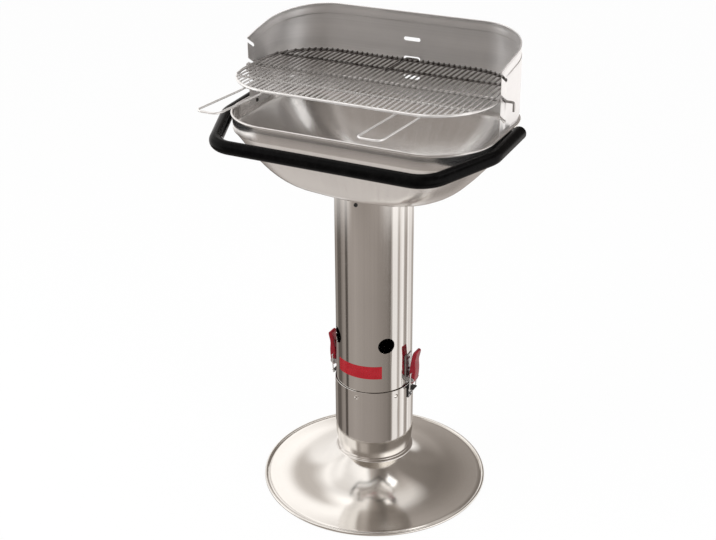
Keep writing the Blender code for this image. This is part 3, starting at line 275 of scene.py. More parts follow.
class Shop:
    """the node tree of one finish or of the studio"""

    def __init__(self, tree):
        self.tree = tree

    def node(self, kind, settings=None, sockets=None, output=0):
        made = self.tree.nodes.new(kind)
        for name, value in (settings or {}).items():
            setattr(made, name, value)
        for name, value in (sockets or {}).items():
            self.plug(made.inputs[name], value)
        return Value(self, made.outputs[output]) if made.outputs else None

    def plug(self, socket, value):
        if isinstance(value, Value):
            self.tree.links.new(value.socket, socket)
        else:
            socket.default_value = value

    def shade(self, **sockets):
        """fills the sockets of a finish's own shader, named with _ for each space"""
        shader = self.tree.nodes["Principled BSDF"]
        for name, value in sockets.items():
            self.plug(shader.inputs[name.replace("_", " ")], with_alpha(value))

    def maths(self, operation, *values):
        return self.node("ShaderNodeMath", {"operation": operation}, dict(enumerate(values)))

    def mix(self, factor, first, second):
        sockets = {0: factor, 6: with_alpha(first), 7: with_alpha(second)}
        return self.node("ShaderNodeMix", {"data_type": "RGBA"}, sockets, 2)

    def blend(self, value, low, high, first, second):
        """goes from the first colour to the second while the value goes from low to high"""
        return self.mix(self.span(value, low, high), first, second)

    def ramp(self, value, stops):
        """a colour ramp along the value, with a colour at each stop's place"""
        made = self.node("ShaderNodeValToRGB", sockets={0: value})
        elements = made.socket.node.color_ramp.elements
        while len(elements) < len(stops):
            elements.new(1.0)
        for element, (place, colour) in zip(elements, stops):
            element.position = place
            element.color = with_alpha(colour)
        return made

    def place(self):
        """the surface's own place from the column's axis, which goes with the piece when it moves"""
        own = self.node("ShaderNodeTexCoord", output=3)
        return self.node("ShaderNodeVectorMath", {"operation": "SUBTRACT"}, {0: own, 1: AXIS_SHIFT})

    def split(self, vector):
        made = self.node("ShaderNodeSeparateXYZ", sockets={0: vector})
        return [Value(self, output) for output in made.socket.node.outputs]

    def join(self, x, y, z):
        return self.node("ShaderNodeCombineXYZ", sockets={0: x, 1: y, 2: z})

    def noise(self, vector, scale, detail, rough):
        sockets = {"Vector": vector, "Scale": scale, "Detail": detail, "Roughness": rough}
        return self.node("ShaderNodeTexNoise", sockets=sockets)

    def span(self, value, low, high, to_low=0.0, to_high=1.0):
        """carries a value from one range into another, held at its ends"""
        sockets = {0: value, 1: low, 2: high, 3: to_low, 4: to_high}
        return self.node("ShaderNodeMapRange", {"clamp": True}, sockets)

    def bump(self, height, strength, distance):
        sockets = {"Height": height, "Strength": strength, "Distance": distance}
        return self.node("ShaderNodeBump", sockets=sockets)


FINISHES = {}


def start_finish(name):
    material = bpy.data.materials.new(name)
    material.use_nodes = True
    FINISHES[name] = material
    return Shop(material.node_tree)


EDGE_ROUGHNESS = 0.12


def steel(name, tint, roughness, grain, metallic=1.0, anisotropic=0.0, bright_edges=False):
    """bright sheet steel whose fine grain runs as grain(shop, x, y, z) says"""
    shop = start_finish(name)
    place = shop.place()
    lines = shop.noise(grain(shop, *shop.split(place)), 1.0, 3.0, 0.65)
    patches = shop.noise(place, 9.0, 3.0, 0.6)
    smears = shop.noise(place, 38.0, 4.0, 0.7)
    tone = shop.span(lines, 0.3, 0.7, -0.03, 0.03) + shop.span(patches, 0.3, 0.7, -0.02, 0.02)
    darker = tuple(c * 0.95 for c in tint)
    lighter = tuple(min(c * 1.04, 1.0) for c in tint)
    colour = shop.blend(tone, -0.05, 0.05, darker, lighter)
    wear = shop.span(smears, 0.45, 0.75, 0.0, 0.02)
    rough = shop.span(lines, 0.3, 0.7, roughness - 0.008, roughness + 0.012) + wear
    if bright_edges:
        up = shop.split(shop.node("ShaderNodeTexCoord", output=1))[2]
        polish = shop.span(up, 0.25, 0.6, 0.0, roughness - EDGE_ROUGHNESS)
        rough = shop.maths("SUBTRACT", rough, polish)
    normal = shop.bump(lines, 0.02, 0.0001)
    shop.shade(Base_Color=colour, Roughness=rough, Metallic=metallic, Normal=normal)
    shop.shade(Anisotropic=anisotropic, Anisotropic_Rotation=0.25)


def round_the_axis(shop, x, y, z):
    """grain that runs round the column's axis, as spinning and turning leave it"""
    far = shop.maths("SQRT", x * x + y * y)
    return shop.join(far * 900.0, z * 900.0, shop.maths("ARCTAN2", y, x) * 0.8)


def up_the_column(shop, x, y, z):
    """grain that runs up the rolled sheet"""
    return shop.join(shop.maths("ARCTAN2", y, x) * 46.0, z * 1.2, 0.0)


def along_the_sheet(shop, x, y, z):
    """grain that runs level along the bent sheet"""
    return shop.join(x * 2.0, y * 2.0, z * 420.0)


def in_the_bowl(shop, x, y, z):
    """draw marks that fan out from the bowl's middle"""
    turn = shop.maths("ARCTAN2", y * 1.5, x)
    return shop.join(turn * 26.0, z * 3.0, 0.0)


def polished_wire():
    """bright plated wire, dulled in spots, with a painted dark reflection that darkens it towards the
    back of the grate
    """
    shop = start_finish("chromed_wire")
    place = shop.place()
    x, y, z = shop.split(place)
    cloud = shop.noise(place, 60.0, 4.0, 0.6)
    fine = shop.noise(place, 900.0, 2.0, 0.5)
    colour = shop.blend(cloud, 0.35, 0.7, (0.94, 0.93, 0.92), (0.78, 0.76, 0.74))
    # painted dark reflection: the wire turns near black towards the back of the grate, standing in for
    # the dark surroundings it mirrors there; the same mask makes it rougher and more metallic
    back_of_the_grate = shop.span(y, -0.13, 0.06) * shop.span(z, 0.85, 0.88)
    painted_dark_reflection = back_of_the_grate * shop.span(cloud, 0.30, 0.60, 0.75, 1.0)
    colour = shop.mix(painted_dark_reflection, colour, (0.10, 0.09, 0.085))
    rough = shop.span(cloud, 0.35, 0.75, 0.07, 0.16) + painted_dark_reflection * 0.12
    normal = shop.bump(fine, 0.05, 0.0002)
    plating = painted_dark_reflection * 0.35 + 0.62
    shop.shade(Base_Color=colour, Roughness=rough, Metallic=plating, Normal=normal)


def mottled(name, first, second, cloud, spread, rough, grain, relief, **sockets):
    """goes between two colours in clouds, rougher in the same clouds, with a fine grain in relief"""
    shop = start_finish(name)
    place = shop.place()
    clouds = shop.noise(place, *cloud)
    colour = shop.blend(clouds, *spread, first, second)
    normal = shop.bump(shop.noise(place, *grain), *relief)
    rough = shop.span(clouds, *rough)
    shop.shade(Base_Color=colour, Roughness=rough, Normal=normal, **sockets)


def red_moulding(name, deep, bright):
    """gloss red plastic, with faint flow marks"""
    flow, spread, rough = (55.0, 3.0, 0.55), (0.3, 0.7), (0.3, 0.7, 0.20, 0.30)
    gloss = {"Specular_IOR_Level": 0.35, "Coat_Weight": 0.1, "Coat_Roughness": 0.1}
    mottled(name, deep, bright, flow, spread, rough, (1200.0, 1.0, 0.5), (0.05, 0.0002), **gloss)


def zinc_plate():
    """fasteners and pressings in zinc plate, with its faint spangle"""
    shop = start_finish("zinc_plate")
    sockets = {"Vector": shop.place(), "Scale": 260.0}
    spangle = shop.split(shop.node("ShaderNodeTexVoronoi", sockets=sockets, output="Color"))[0]
    colour = shop.mix(spangle, (0.56, 0.565, 0.58), (0.70, 0.70, 0.70))
    rough = shop.span(spangle, 0.0, 1.0, 0.28, 0.42)
    shop.shade(Base_Color=colour, Roughness=rough, Metallic=1.0)


def make_finishes():
    steel("spun_steel", (0.82, 0.80, 0.765), 0.13, round_the_axis, 1.0, 0.3)
    for name in ("pot_steel", "column_steel"):
        steel(name, (0.83, 0.81, 0.785), 0.08, up_the_column)
    steel("bowl_steel", (0.84, 0.825, 0.81), 0.19, in_the_bowl, 0.95)
    steel("shield_steel", (0.88, 0.87, 0.865), 0.36, along_the_sheet, 0.92, 0.8, True)
    polished_wire()
    # plain steel wire, dulled by ash
    ash_grey, soot = (0.50, 0.49, 0.475), (0.30, 0.285, 0.27)
    cloud, rough, grain = (45.0, 5.0, 0.65), (0.3, 0.7, 0.30, 0.52), (700.0, 2.0, 0.5)
    mottled("fire_wire", ash_grey, soot, cloud, (0.35, 0.7), rough, grain, (0.15, 0.0003), Metallic=1.0)
    zinc_plate()
    # stoved gloss black, with the slight orange peel of a sprayed tube
    black, dusty = (0.0015, 0.0015, 0.0016), (0.0045, 0.0042, 0.0042)
    cloud, rough, peel = (70.0, 4.0, 0.7), (0.35, 0.75, 0.20, 0.30), (420.0, 2.0, 0.45)
    gloss = {"Specular_IOR_Level": 0.05}
    mottled("rail_enamel", black, dusty, cloud, (0.4, 0.8), rough, peel, (0.06, 0.0004), **gloss)
    # satin black of the screws, catches and end plugs
    black, dusty = (0.010, 0.010, 0.0105), (0.024, 0.023, 0.022)
    cloud, rough, grain = (90.0, 3.0, 0.6), (0.3, 0.7, 0.36, 0.5), (1600.0, 2.0, 0.5)
    mottled("black_moulding", black, dusty, cloud, (0.3, 0.7), rough, grain, (0.1, 0.0002))
    red_moulding("red_moulding", (0.20, 0.003, 0.010), (0.30, 0.005, 0.018))
    red_moulding("label_red", (0.36, 0.006, 0.014), (0.42, 0.009, 0.019))


def add_object(name, data):
    made = bpy.data.objects.new(name, data)
    bpy.context.scene.collection.objects.link(made)
    return made


def take_mesh(bm, name):
    """turns a bmesh into a mesh with its faces outwards"""
    bmesh.ops.recalc_face_normals(bm, faces=bm.faces)
    mesh = bpy.data.meshes.new(name)
    bm.to_mesh(mesh)
    bm.free()
    return mesh


def add_piece(name, shape, finish, body, nodes=(), angle=40):
    """makes a piece of a bmesh or mesh drawn in place, riding on a body and standing for its nodes"""
    mesh = take_mesh(shape, name) if isinstance(shape, bmesh.types.BMesh) else shape
    mesh.name = name
    mesh.transform(Matrix.Translation(AXIS_SHIFT))
    mesh.materials.append(FINISHES[finish])
    mesh.shade_smooth()
    mesh.set_sharp_from_angle(angle=math.radians(angle))
    piece = add_object(name, mesh)
    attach(piece, body)
    if nodes:
        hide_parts(*nodes)
    return piece


def settle(bm, steps):
    """the mesh of bm after its steps, each one BEVEL and a width, or a boolean and its tool"""
    blank = add_object("blank", take_mesh(bm, "blank"))
    helpers = [blank]
    for operation, tool in steps:
        if operation == "BEVEL":
            edge = blank.modifiers.new("edge", "BEVEL")
            edge.width = tool
            edge.segments = 4
            edge.limit_method = "ANGLE"
            edge.angle_limit = math.radians(60)
            continue
        helpers.append(add_object("tool", take_mesh(tool, "tool")))
        modifier = blank.modifiers.new("cut", "BOOLEAN")
        modifier.operation = operation
        modifier.solver = "EXACT"
        modifier.object = helpers[-1]
    graph = bpy.context.evaluated_depsgraph_get()
    settled = bpy.data.meshes.new_from_object(blank.evaluated_get(graph))
    for helper in helpers:
        bpy.data.objects.remove(helper, do_unlink=True)
    return settled


def add_rings(bm, rings, wrap=False, capped=False):
    """skins a list of rings, each a list of points or one single point"""
    rows = [[bm.verts.new(p) for p in ring] for ring in rings]
    pairs = list(zip(rows, rows[1:]))
    if wrap:
        pairs.append((rows[-1], rows[0]))
    for low, high in pairs:
        for k in range(max(len(low), len(high))):
            here, ahead = low[k % len(low)], low[(k + 1) % len(low)]
            above, above_ahead = high[k % len(high)], high[(k + 1) % len(high)]
            bm.faces.new(list(dict.fromkeys((here, ahead, above_ahead, above))))
    if capped:
        bm.faces.new(rows[0])
        bm.faces.new(rows[-1])


def lathe(bm, profile, segments, matrix=Matrix(), wrap=True):
    """turns (radius, height) points round the matrix's Z axis"""
    turn = [2 * math.pi * k / segments for k in range(segments)]
    rings = []
    for radius, height in profile:
        ring = [(radius * math.cos(t), radius * math.sin(t), height) for t in turn]
        rings.append([matrix @ Vector(p) for p in (ring if radius else [(0, 0, height)])])
    add_rings(bm, rings, wrap=wrap)


def rod(bm, start, end, radius, sides, edge=0.0):
    """a straight closed cylinder between two points, with its end edges rounded off by edge"""
    start, end = Vector(start), Vector(end)
    along = end - start
    turn = along.to_track_quat("Z", "Y").to_matrix().to_4x4()
    profile = [(0, 0), (radius - edge, 0), (radius, edge), (radius, along.length - edge)]
    profile += [(radius - edge, along.length), (0, along.length)]
    lathe(bm, list(dict.fromkeys(profile)), sides, Matrix.Translation(start) @ turn, wrap=False)


def prism(bm, outline, matrix, half_depth):
    """extrudes a flat outline by half_depth to each side along the matrix's Z axis"""
    low = [matrix @ Vector((x, y, -half_depth)) for x, y in outline]
    high = [matrix @ Vector((x, y, half_depth)) for x, y in outline]
    add_rings(bm, [low, high], capped=True)


def in_threes(path):
    """each point of an open path with the ones before and after it, at the ends itself"""
    return zip(path[:1] + path, path, path[1:] + path[-1:])


def sheet_profile(path, thickness):
    """closes an open (radius, height) path with the same path moved to its left"""
    shifted = []
    for back, (r, z), ahead in in_threes(path):
        normals = []
        for p, q in ((back, (r, z)), ((r, z), ahead)):
            d = Vector((q[0] - p[0], q[1] - p[1]))
            if d.length > 0:
                normals.append(Vector((-d.y, d.x)).normalized())
        mean = sum(normals, Vector((0, 0))).normalized()
        reach = thickness / max(mean.dot(normals[0]), 0.4)
        shifted.append((r + mean.x * reach, z + mean.y * reach))
    return list(path) + shifted[::-1]


def ease(share):
    return share * share * (3 - 2 * share)


def between(low, high, share):
    return low + (high - low) * share


def arc(centre, radius, start, end, steps):
    """points (x, y) along an arc, angles in degrees"""
    turns = [math.radians(start + (end - start) * k / steps) for k in range(steps + 1)]
    return [(centre[0] + radius * math.cos(t), centre[1] + radius * math.sin(t)) for t in turns]


def rounded_rectangle(half_x, half_y, corner, steps, long_side, short_side):
    """counter-clockwise points, with the same count whatever the size"""
    points = []
    for start, divisions in ((0, long_side), (90, short_side), (180, long_side), (270, short_side)):
        side_x = 1 if start in (0, 270) else -1
        side_y = 1 if start in (0, 90) else -1
        centre = (side_x * (half_x - corner), side_y * (half_y - corner))
        points += arc(centre, corner, start, start + 90, steps)
        x, y = points[-1]
        far_x, far_y = (-x, y) if start in (0, 180) else (x, -y)
        shares = [k / divisions for k in range(1, divisions)]
        points += [(between(x, far_x, share), between(y, far_y, share)) for share in shares]
    return points


def soften(points, radius, steps=10):
    """rounds the inner corners of an open 3D polyline"""
    points = [Vector(p) for p in points]
    path = [points[0]]
    for before, corner, after in zip(points, points[1:], points[2:]):
        to_before = (before - corner).normalized()
        to_after = (after - corner).normalized()
        half = to_before.angle(to_after) / 2
        reach = radius / math.tan(half)
        middle = corner + (to_before + to_after).normalized() * (radius / math.sin(half))
        first = corner + to_before * reach - middle
        last = corner + to_after * reach - middle
        for k in range(steps + 1):
            path.append(middle + first.normalized().slerp(last.normalized(), k / steps) * radius)
    path.append(points[-1])
    return path


def wire(bm, path, radius, sides=14, closed=False, bore=0.0):
    """sweeps a round section along a path, without twist"""
    path = [Vector(p) for p in path]
    pairs = zip(path[-1:] + path, path[1:] + path[:1])
    if not closed:
        pairs = ((back, ahead) for back, _, ahead in in_threes(path))
    tangents = [(ahead - back).normalized() for back, ahead in pairs]
    side = Vector((0, 0, 1)) if abs(tangents[0].z) < 0.9 else tangents[0].orthogonal().normalized()
    outer, inner = [], []
    for centre, tangent in zip(path, tangents):
        side = (side - tangent * side.dot(tangent)).normalized()
        other = tangent.cross(side)
        for ring, size in ((outer, radius), (inner, bore)):
            turn = [2 * math.pi * (m + 0.5) / sides for m in range(sides)]
            ring.append([centre + (side * math.cos(t) + other * math.sin(t)) * size for t in turn])
    if bore > 0:
        add_rings(bm, outer + inner[::-1], wrap=True)
    else:
        add_rings(bm, outer, wrap=closed, capped=not closed)


def smooth_loop(points, steps):
    """a closed curve through the points, with steps pieces between two of them"""
    points = [Vector(p) for p in points]
    count = len(points)
    out = []
    for k in range(count):
        a, b, c, d = (points[(k + m) % count] for m in (-1, 0, 1, 2))
        for m in range(steps):
            t = m / steps
            p = b * 2 + (c - a) * t + (a * 2 - b * 5 + c * 4 - d) * t**2
            out.append(tuple((p + (b * 3 - a - c * 3 + d) * t**3) * 0.5))
    return out


def radial(angle, z, out=0.0):
    """a frame on the column's axis at height z, its Z axis pointing out at angle degrees"""
    turn = Matrix.Rotation(math.radians(angle), 4, "Z") @ Matrix.Rotation(math.pi / 2, 4, "Y")
    return Matrix.Translation((0, 0, z)) @ turn @ Matrix.Translation((0, 0, out))


def frame_at(origin, along, up):
    """a frame with its X axis along, its Y axis up and its origin at origin"""
    along, up = Vector(along), Vector(up)
    turn = Matrix((along, up, along.cross(up))).transposed().to_4x4()
    return Matrix.Translation(origin) @ turn


def side_view(side):
    """draws (outward from the axis, up) on the middle plane, on the latch's side of the column"""
    return frame_at((0, 0, 0), (side, 0, 0), (0, 0, 1))


def hole(bm, matrix, radius, reach, sides=20):
    lathe(bm, [(0, -reach), (radius, -reach), (radius, reach), (0, reach)], sides, matrix, wrap=False)


def make_dish():
    """spun trumpet foot with its rolled bead and flat hem"""
    valley = DISH_RADIUS - 2 * DISH_BEAD
    path = [(BOLT_HOLE_RADIUS, DISH_TOP), (0.030, DISH_TOP)]
    path += [(DISH_NECK_RADIUS - inward, DISH_TOP - drop) for inward, drop in DISH_SHOULDER]
    for k in range(DISH_FLARE_STEPS + 1):
        share = (k / DISH_FLARE_STEPS) ** DISH_CROWDING
        radius = between(DISH_NECK_RADIUS, valley, share)
        step = DISH_STEP * ease(min((valley - radius) / DISH_STEP_RUN, 1.0))
        rise = DISH_TOP - DISH_SHOULDER_DROP - DISH_BEAD - step
        path.append((radius, DISH_BEAD + step + rise * (1 - share) ** DISH_FLARE))
    path += [(valley - DISH_STEP_RUN * k / 6, DISH_BEAD + DISH_STEP * ease(k / 6)) for k in range(1, 6)]
    path.sort(key=lambda point: point[0])
    centre = (DISH_RADIUS - DISH_BEAD, DISH_BEAD)
    path += arc(centre, DISH_BEAD, 150, -90, 16)
    path.append((DISH_RADIUS - DISH_BEAD - DISH_HEM, 0.0))
    path.reverse()
    bm = bmesh.new()
    lathe(bm, sheet_profile(path, DISH_SHEET), 192)
    add_piece("spun_foot", bm, "spun_steel", "stand", ["base_dish"], 50)


def catch_rivet_places(side):
    out = POT_RADIUS + GAP + CATCH_SHEET + GAP
    face = radial(0 if side > 0 else 180, CATCH_LOW + 0.0045, out)
    return [Matrix.Translation((0, side * across, 0)) @ face for across in (-0.0055, 0.0055)]


def make_pot():
    """drawn cup: crimped floor hem, drawn-in foot, turned lip and six dimples"""
    foot = POT_RADIUS - POT_DRAW
    hem_top = POT_BOTTOM + POT_HEM_HEIGHT
    straight = hem_top + POT_DRAW_HEIGHT
    edge = foot + POT_HEM + 0.0035
    outer = [(BOLT_HOLE_RADIUS, POT_BOTTOM), (edge - POT_HEM_ROUND, POT_BOTTOM)]
    outer += arc((edge - POT_HEM_ROUND, POT_BOTTOM + POT_HEM_ROUND), POT_HEM_ROUND, -70, 90, 8)
    outer += [(foot + 0.0012, hem_top), (foot + EDGE, hem_top + EDGE)]
    drawn = [k / 24 for k in range(1, 25)]
    wall = [(foot + POT_DRAW * k * (2 - k), between(hem_top, straight, k)) for k in drawn]
    wall += [(POT_RADIUS, POT_TOP - EDGE), (POT_RADIUS - 0.0003, POT_TOP)]
    inner = [(r - POT_SHEET, z) for r, z in wall[:-1]]
    inner.append((POT_RADIUS - POT_SHEET + 0.0003, POT_TOP))
    inner.reverse()
    inner += [(radius, POT_BOTTOM + POT_SHEET) for radius in (foot - POT_SHEET, BOLT_HOLE_RADIUS)]
    bm = bmesh.new()
    lathe(bm, outer + wall + inner, 120)

    bumps, tools = bmesh.new(), bmesh.new()
    reach = TUBE_INNER - EDGE
    base = POT_RADIUS - POT_SHEET / 2
    deep = reach + POT_SHEET
    bump = [(0, reach), (0.6, reach), (0.9, reach + EDGE), (1, reach + 0.0010), (1, base), (0, base)]
    dent = [(0, deep), (0.45, deep + 0.0001), (0.75, deep + 0.0006), (0.95, POT_RADIUS - 0.0006)]
    dent += [(1.12, POT_RADIUS + rise) for rise in (0.0002, 0.002)] + [(0, POT_RADIUS + 0.002)]
    for k in range(DIMPLE_COUNT):
        matrix = radial(-90 + 360 * k / DIMPLE_COUNT, DIMPLE_Z)
        for tool, section in ((bumps, bump), (tools, dent)):
            profile = [(DIMPLE_RADIUS * share, height) for share, height in section]
            lathe(tool, profile, 28, matrix, wrap=False)
    for _, side in SIDES:
        for matrix in catch_rivet_places(side):
            hole(tools, matrix, RIVET_RADIUS + GAP, 0.006)
    mesh = settle(bm, [("UNION", bumps), ("DIFFERENCE", tools)])
    add_piece("ash_cup", mesh, "pot_steel", "stand", ["ash_pot"], 35)


def collar_screw_places():
    z = TUBE_TOP - COLLAR_SCREW_DROP
    return [radial(90 * k, z, TUBE_RADIUS + GAP) for k in range(4)]


def make_column():
    """rolled tube with rounded ends and four air holes on its diagonals"""
    profile = [(TUBE_INNER, TUBE_BOTTOM), (TUBE_RADIUS - EDGE, TUBE_BOTTOM)]
    profile += [(TUBE_RADIUS, TUBE_BOTTOM + EDGE), (TUBE_RADIUS, TUBE_TOP - EDGE)]
    profile += [(TUBE_RADIUS - EDGE, TUBE_TOP), (TUBE_INNER, TUBE_TOP)]
    bm = bmesh.new()
    lathe(bm, profile, 120)
    holes = bmesh.new()
    for angle in (45, 135, 225, 315):
        hole(holes, radial(angle, AIR_HOLE_Z, TUBE_RADIUS), AIR_HOLE_RADIUS, 0.012, 56)
    for matrix in collar_screw_places():
        hole(holes, matrix, SCREW_RADIUS + GAP, 0.006)
    mesh = settle(bm, [("DIFFERENCE", holes)])
    add_piece("column_shell", mesh, "column_steel", "stand", ["column_tube"], 35)


def make_label():
    """plain red film bent round the column's front"""
    inner = TUBE_RADIUS + 0.00005
    outer = inner + LABEL_FILM
    outline = arc((0, 0), inner, LABEL_START, LABEL_END, 40)
    outline += arc((0, 0), outer, LABEL_END, LABEL_START, 40)
    middle = (LABEL_LOW + LABEL_HIGH) / 2
    bm = bmesh.new()
    prism(bm, outline, Matrix.Translation((0, 0, middle)), (LABEL_HIGH - LABEL_LOW) / 2)
    add_piece("column_label", bm, "label_red", "stand")


def add_screws(stem, length, frames):
    """screws with a pan head and a cross recess, the head's underside on each frame's plane"""
    head, tall = SCREW_HEAD_RADIUS, SCREW_HEAD_HEIGHT
    dome = [math.radians(90 - 13 * k) for k in range(1, 7)]
    profile = [(0, tall)] + [(head * math.cos(t), tall * (0.25 + 0.75 * math.sin(t))) for t in dome]
    profile += [(head, tall * 0.22), (head, 0.0), (SCREW_RADIUS, 0.0)]
    profile += [(SCREW_RADIUS, -length), (0, -length)]
    bm = bmesh.new()
    lathe(bm, profile, 28, wrap=False)
    recess = bmesh.new()
    wide, long = 0.00045, 0.0019
    cross = [(long, -wide), (long, wide), (wide, wide), (wide, long), (-wide, long), (-wide, wide)]
    cross += [(-x, -y) for x, y in cross]
    prism(recess, cross, Matrix.Translation((0, 0, tall)), 0.0012)
    mesh = settle(bm, [("DIFFERENCE", recess)])
    for k, matrix in enumerate(frames, start=1):
        copy = mesh.copy()
        copy.transform(matrix)
        name = "%s_%d" % (stem, k)
        add_piece("head_" + name, copy, "black_moulding", "stand", [name], 35)


def bowl_outline(inset):
    half_x, half_y = RIM_LENGTH / 2 - inset, RIM_WIDTH / 2 - inset
    return rounded_rectangle(half_x, half_y, RIM_CORNER - inset, 20, 14, 6)


def matched_circle(radius):
    """a round section with as many points as the bowl's outline, each at its bearing"""
    turns = [math.atan2(y / RIM_WIDTH, x / RIM_LENGTH) for x, y in bowl_outline(SKIRT_INSET)]
    return [(radius * math.cos(t), radius * math.sin(t)) for t in turns]


def hull_ring(depth):
    """the hull's section at a share of its depth"""
    spread = max(1 - depth**HULL_SIDE, 0.0) ** (1 / HULL_FLOOR)
    z = between(SKIRT_Z, BOWL_BOTTOM, depth)
    pairs = zip(matched_circle(BOWL_FOOT_RADIUS), bowl_outline(SKIRT_INSET))
    return [(between(x0, x1, spread), between(y0, y1, spread), z) for (x0, y0), (x1, y1) in pairs]


def make_bowl():
    """deep drawn oblong bowl: round mouth, hull, upright skirt and curled rim"""
    rings = []
    for radius in (BOWL_MOUTH_RADIUS, BOWL_FOOT_RADIUS - 0.003, BOWL_FOOT_RADIUS - 0.001):
        rings.append([(x, y, BOWL_BOTTOM) for x, y in matched_circle(radius)])
    rings += [hull_ring(depth) for depth in HULL_DEPTHS]
    for rise in (0.002, 0.012, 0.020):
        rings.append([(x, y, SKIRT_Z + rise) for x, y in bowl_outline(SKIRT_INSET)])
    curl = RIM_BEAD_RADIUS - BOWL_SHEET / 2
    for angle in range(180, -121, -25):
        t = math.radians(angle)
        inset = RIM_BEAD_RADIUS - curl * math.cos(t)
        z = RIM_Z - RIM_BEAD_RADIUS + curl * math.sin(t)
        rings.append([(x, y, z) for x, y in bowl_outline(inset)])
    shell = bmesh.new()
    add_rings(shell, rings)
    mesh = take_mesh(shell, "bowl_shell")
    if mesh.polygons[0].normal.z > 0:
        mesh.flip_normals()
    bowl = add_piece("bowl_shell", mesh, "bowl_steel", "stand", ["bowl"], 60)
    sheet = bowl.modifiers.new("sheet", "SOLIDIFY")
    sheet.thickness = BOWL_SHEET
    sheet.offset = -1
    sheet.use_even_offset = True


def rail_screw_places():
    x = SHIELD_X - SHIELD_SHEET - GAP
    turns = [(side, Matrix.Rotation(-side * math.pi / 2, 4, "Y")) for side in (1, -1)]
    return [Matrix.Translation((side * x, RAIL_SCREW_Y, RAIL_SIDE_Z)) @ turn for side, turn in turns]


def rail_height(y):
    share = (y - RAIL_FRONT_Y) / (RAIL_SCREW_Y - RAIL_FRONT_Y)
    return between(RAIL_FRONT_Z, RAIL_SIDE_Z, share)


def make_rail():
    """bent tube with rounded end plugs"""
    corners = [(-RAIL_SIDE_X, RAIL_BACK_Y), (-RAIL_SIDE_X, RAIL_BEND_Y)]
    corners.append((-RAIL_FRONT_HALF, RAIL_FRONT_Y))
    corners += [(-x, y) for x, y in corners[::-1]]
    points = [Vector((x, y, rail_height(y))) for x, y in corners]
    bm = bmesh.new()
    wire(bm, soften(points, RAIL_CORNER, 16), RAIL_RADIUS, sides=36, bore=RAIL_RADIUS - RAIL_WALL)
    add_piece("rail_tube", bm, "rail_enamel", "stand", ["rail"])
    slope = Vector((0, 1, rail_height(1) - rail_height(0))).normalized()
    turn = slope.to_track_quat("Z", "Y").to_matrix().to_4x4()
    stem = RAIL_RADIUS - RAIL_WALL - RAIL_PLUG_EDGE
    lip = GAP + EDGE
    cap = RAIL_RADIUS - 0.0005
    brim = lip + RAIL_PLUG_EDGE
    profile = [(0, -RAIL_PLUG_DEPTH), (stem, -RAIL_PLUG_DEPTH), (stem, lip), (cap, lip), (cap, brim)]
    dome = [math.radians(12 * k) for k in range(1, 8)]
    profile += [(cap * math.cos(t), brim + RAIL_PLUG_DOME * math.sin(t)) for t in dome]
    profile.append((0, brim + RAIL_PLUG_DOME))
    for label, side in SIDES:
        end = Vector((side * RAIL_SIDE_X, RAIL_BACK_Y, rail_height(RAIL_BACK_Y)))
        bm = bmesh.new()
        lathe(bm, profile, 36, Matrix.Translation(end) @ turn, wrap=False)
        name = "rail_plug_" + label
        add_piece("cap_of_" + name, bm, "black_moulding", "stand", [name])


PRESS_SHARES = [k / 5 for k in range(6)]


def shield_top(y):
    """the top edge falls evenly along the wings, then more steeply at their tips"""
    if y < SHIELD_TIP_Y:
        return between(SHIELD_TIP_Z, SHIELD_WING_Z, (y - SHIELD_FRONT_Y) / SHIELD_TIP_RUN)
    return between(SHIELD_WING_Z, SHIELD_BACK_Z, (y - SHIELD_TIP_Y) / (SHIELD_Y - SHIELD_TIP_Y))


def shield_path():
    """outer plan of the windshield from the right wing's tip round the back, as (x, y, pressed)"""
    start = SHIELD_FRONT_Y + SHIELD_BORDER
    right = [(SHIELD_X, SHIELD_FRONT_Y, 0.0), (SHIELD_X, SHIELD_FRONT_Y + SHIELD_BORDER / 2, 0.0)]
    right += [(SHIELD_X, start + SHIELD_PRESS_RUN * share, ease(share)) for share in PRESS_SHARES]
    right += [(SHIELD_X, SHIELD_TIP_Y + past, 1.0) for past in (-0.003, 0.0, 0.003)]
    bend = SHIELD_Y - SHIELD_CORNER
    right += [(SHIELD_X, between(SHIELD_TIP_Y, bend, share), 1.0) for share in (0.35, 0.7)]
    turn = arc((SHIELD_X - SHIELD_CORNER, bend), SHIELD_CORNER, 0, 90, 26)
    right += [(x, y, 1.0) for x, y in turn]
    shares = (0.85, 0.7, 0.55, 0.4, 0.25, 0.12)
    right += [((SHIELD_X - SHIELD_CORNER) * share, SHIELD_Y, 1.0) for share in shares]
    left = [(-x, y, pressed) for x, y, pressed in right[::-1]]
    return right + [(0.0, SHIELD_Y, 1.0)] + left


def shield_heights(top, pressed):
    """heights up one column of the sheet, each with its share of the pressed depth and of the hem"""
    low, high = SHIELD_PANEL_Z, top - SHIELD_BORDER - SHIELD_PRESS_RUN
    run = SHIELD_PRESS_RUN
    heights = [(SHIELD_BOTTOM, 0.0), (low - 0.012, 0.0)]
    heights += [(low + run * share, ease(share) * pressed) for share in PRESS_SHARES]
    heights += [(between(low + run, high, share), pressed) for share in (0.25, 0.5, 0.75)]
    heights += [(high + run * share, (1 - ease(share)) * pressed) for share in PRESS_SHARES]
    heights.append((top - SHIELD_BORDER / 2, 0.0))
    column = [(z, amount, 0.0) for z, amount in heights]
    return column + [(top - SHIELD_HEM * drop, 0.0, swell) for drop, swell in SHIELD_HEM_STEPS]


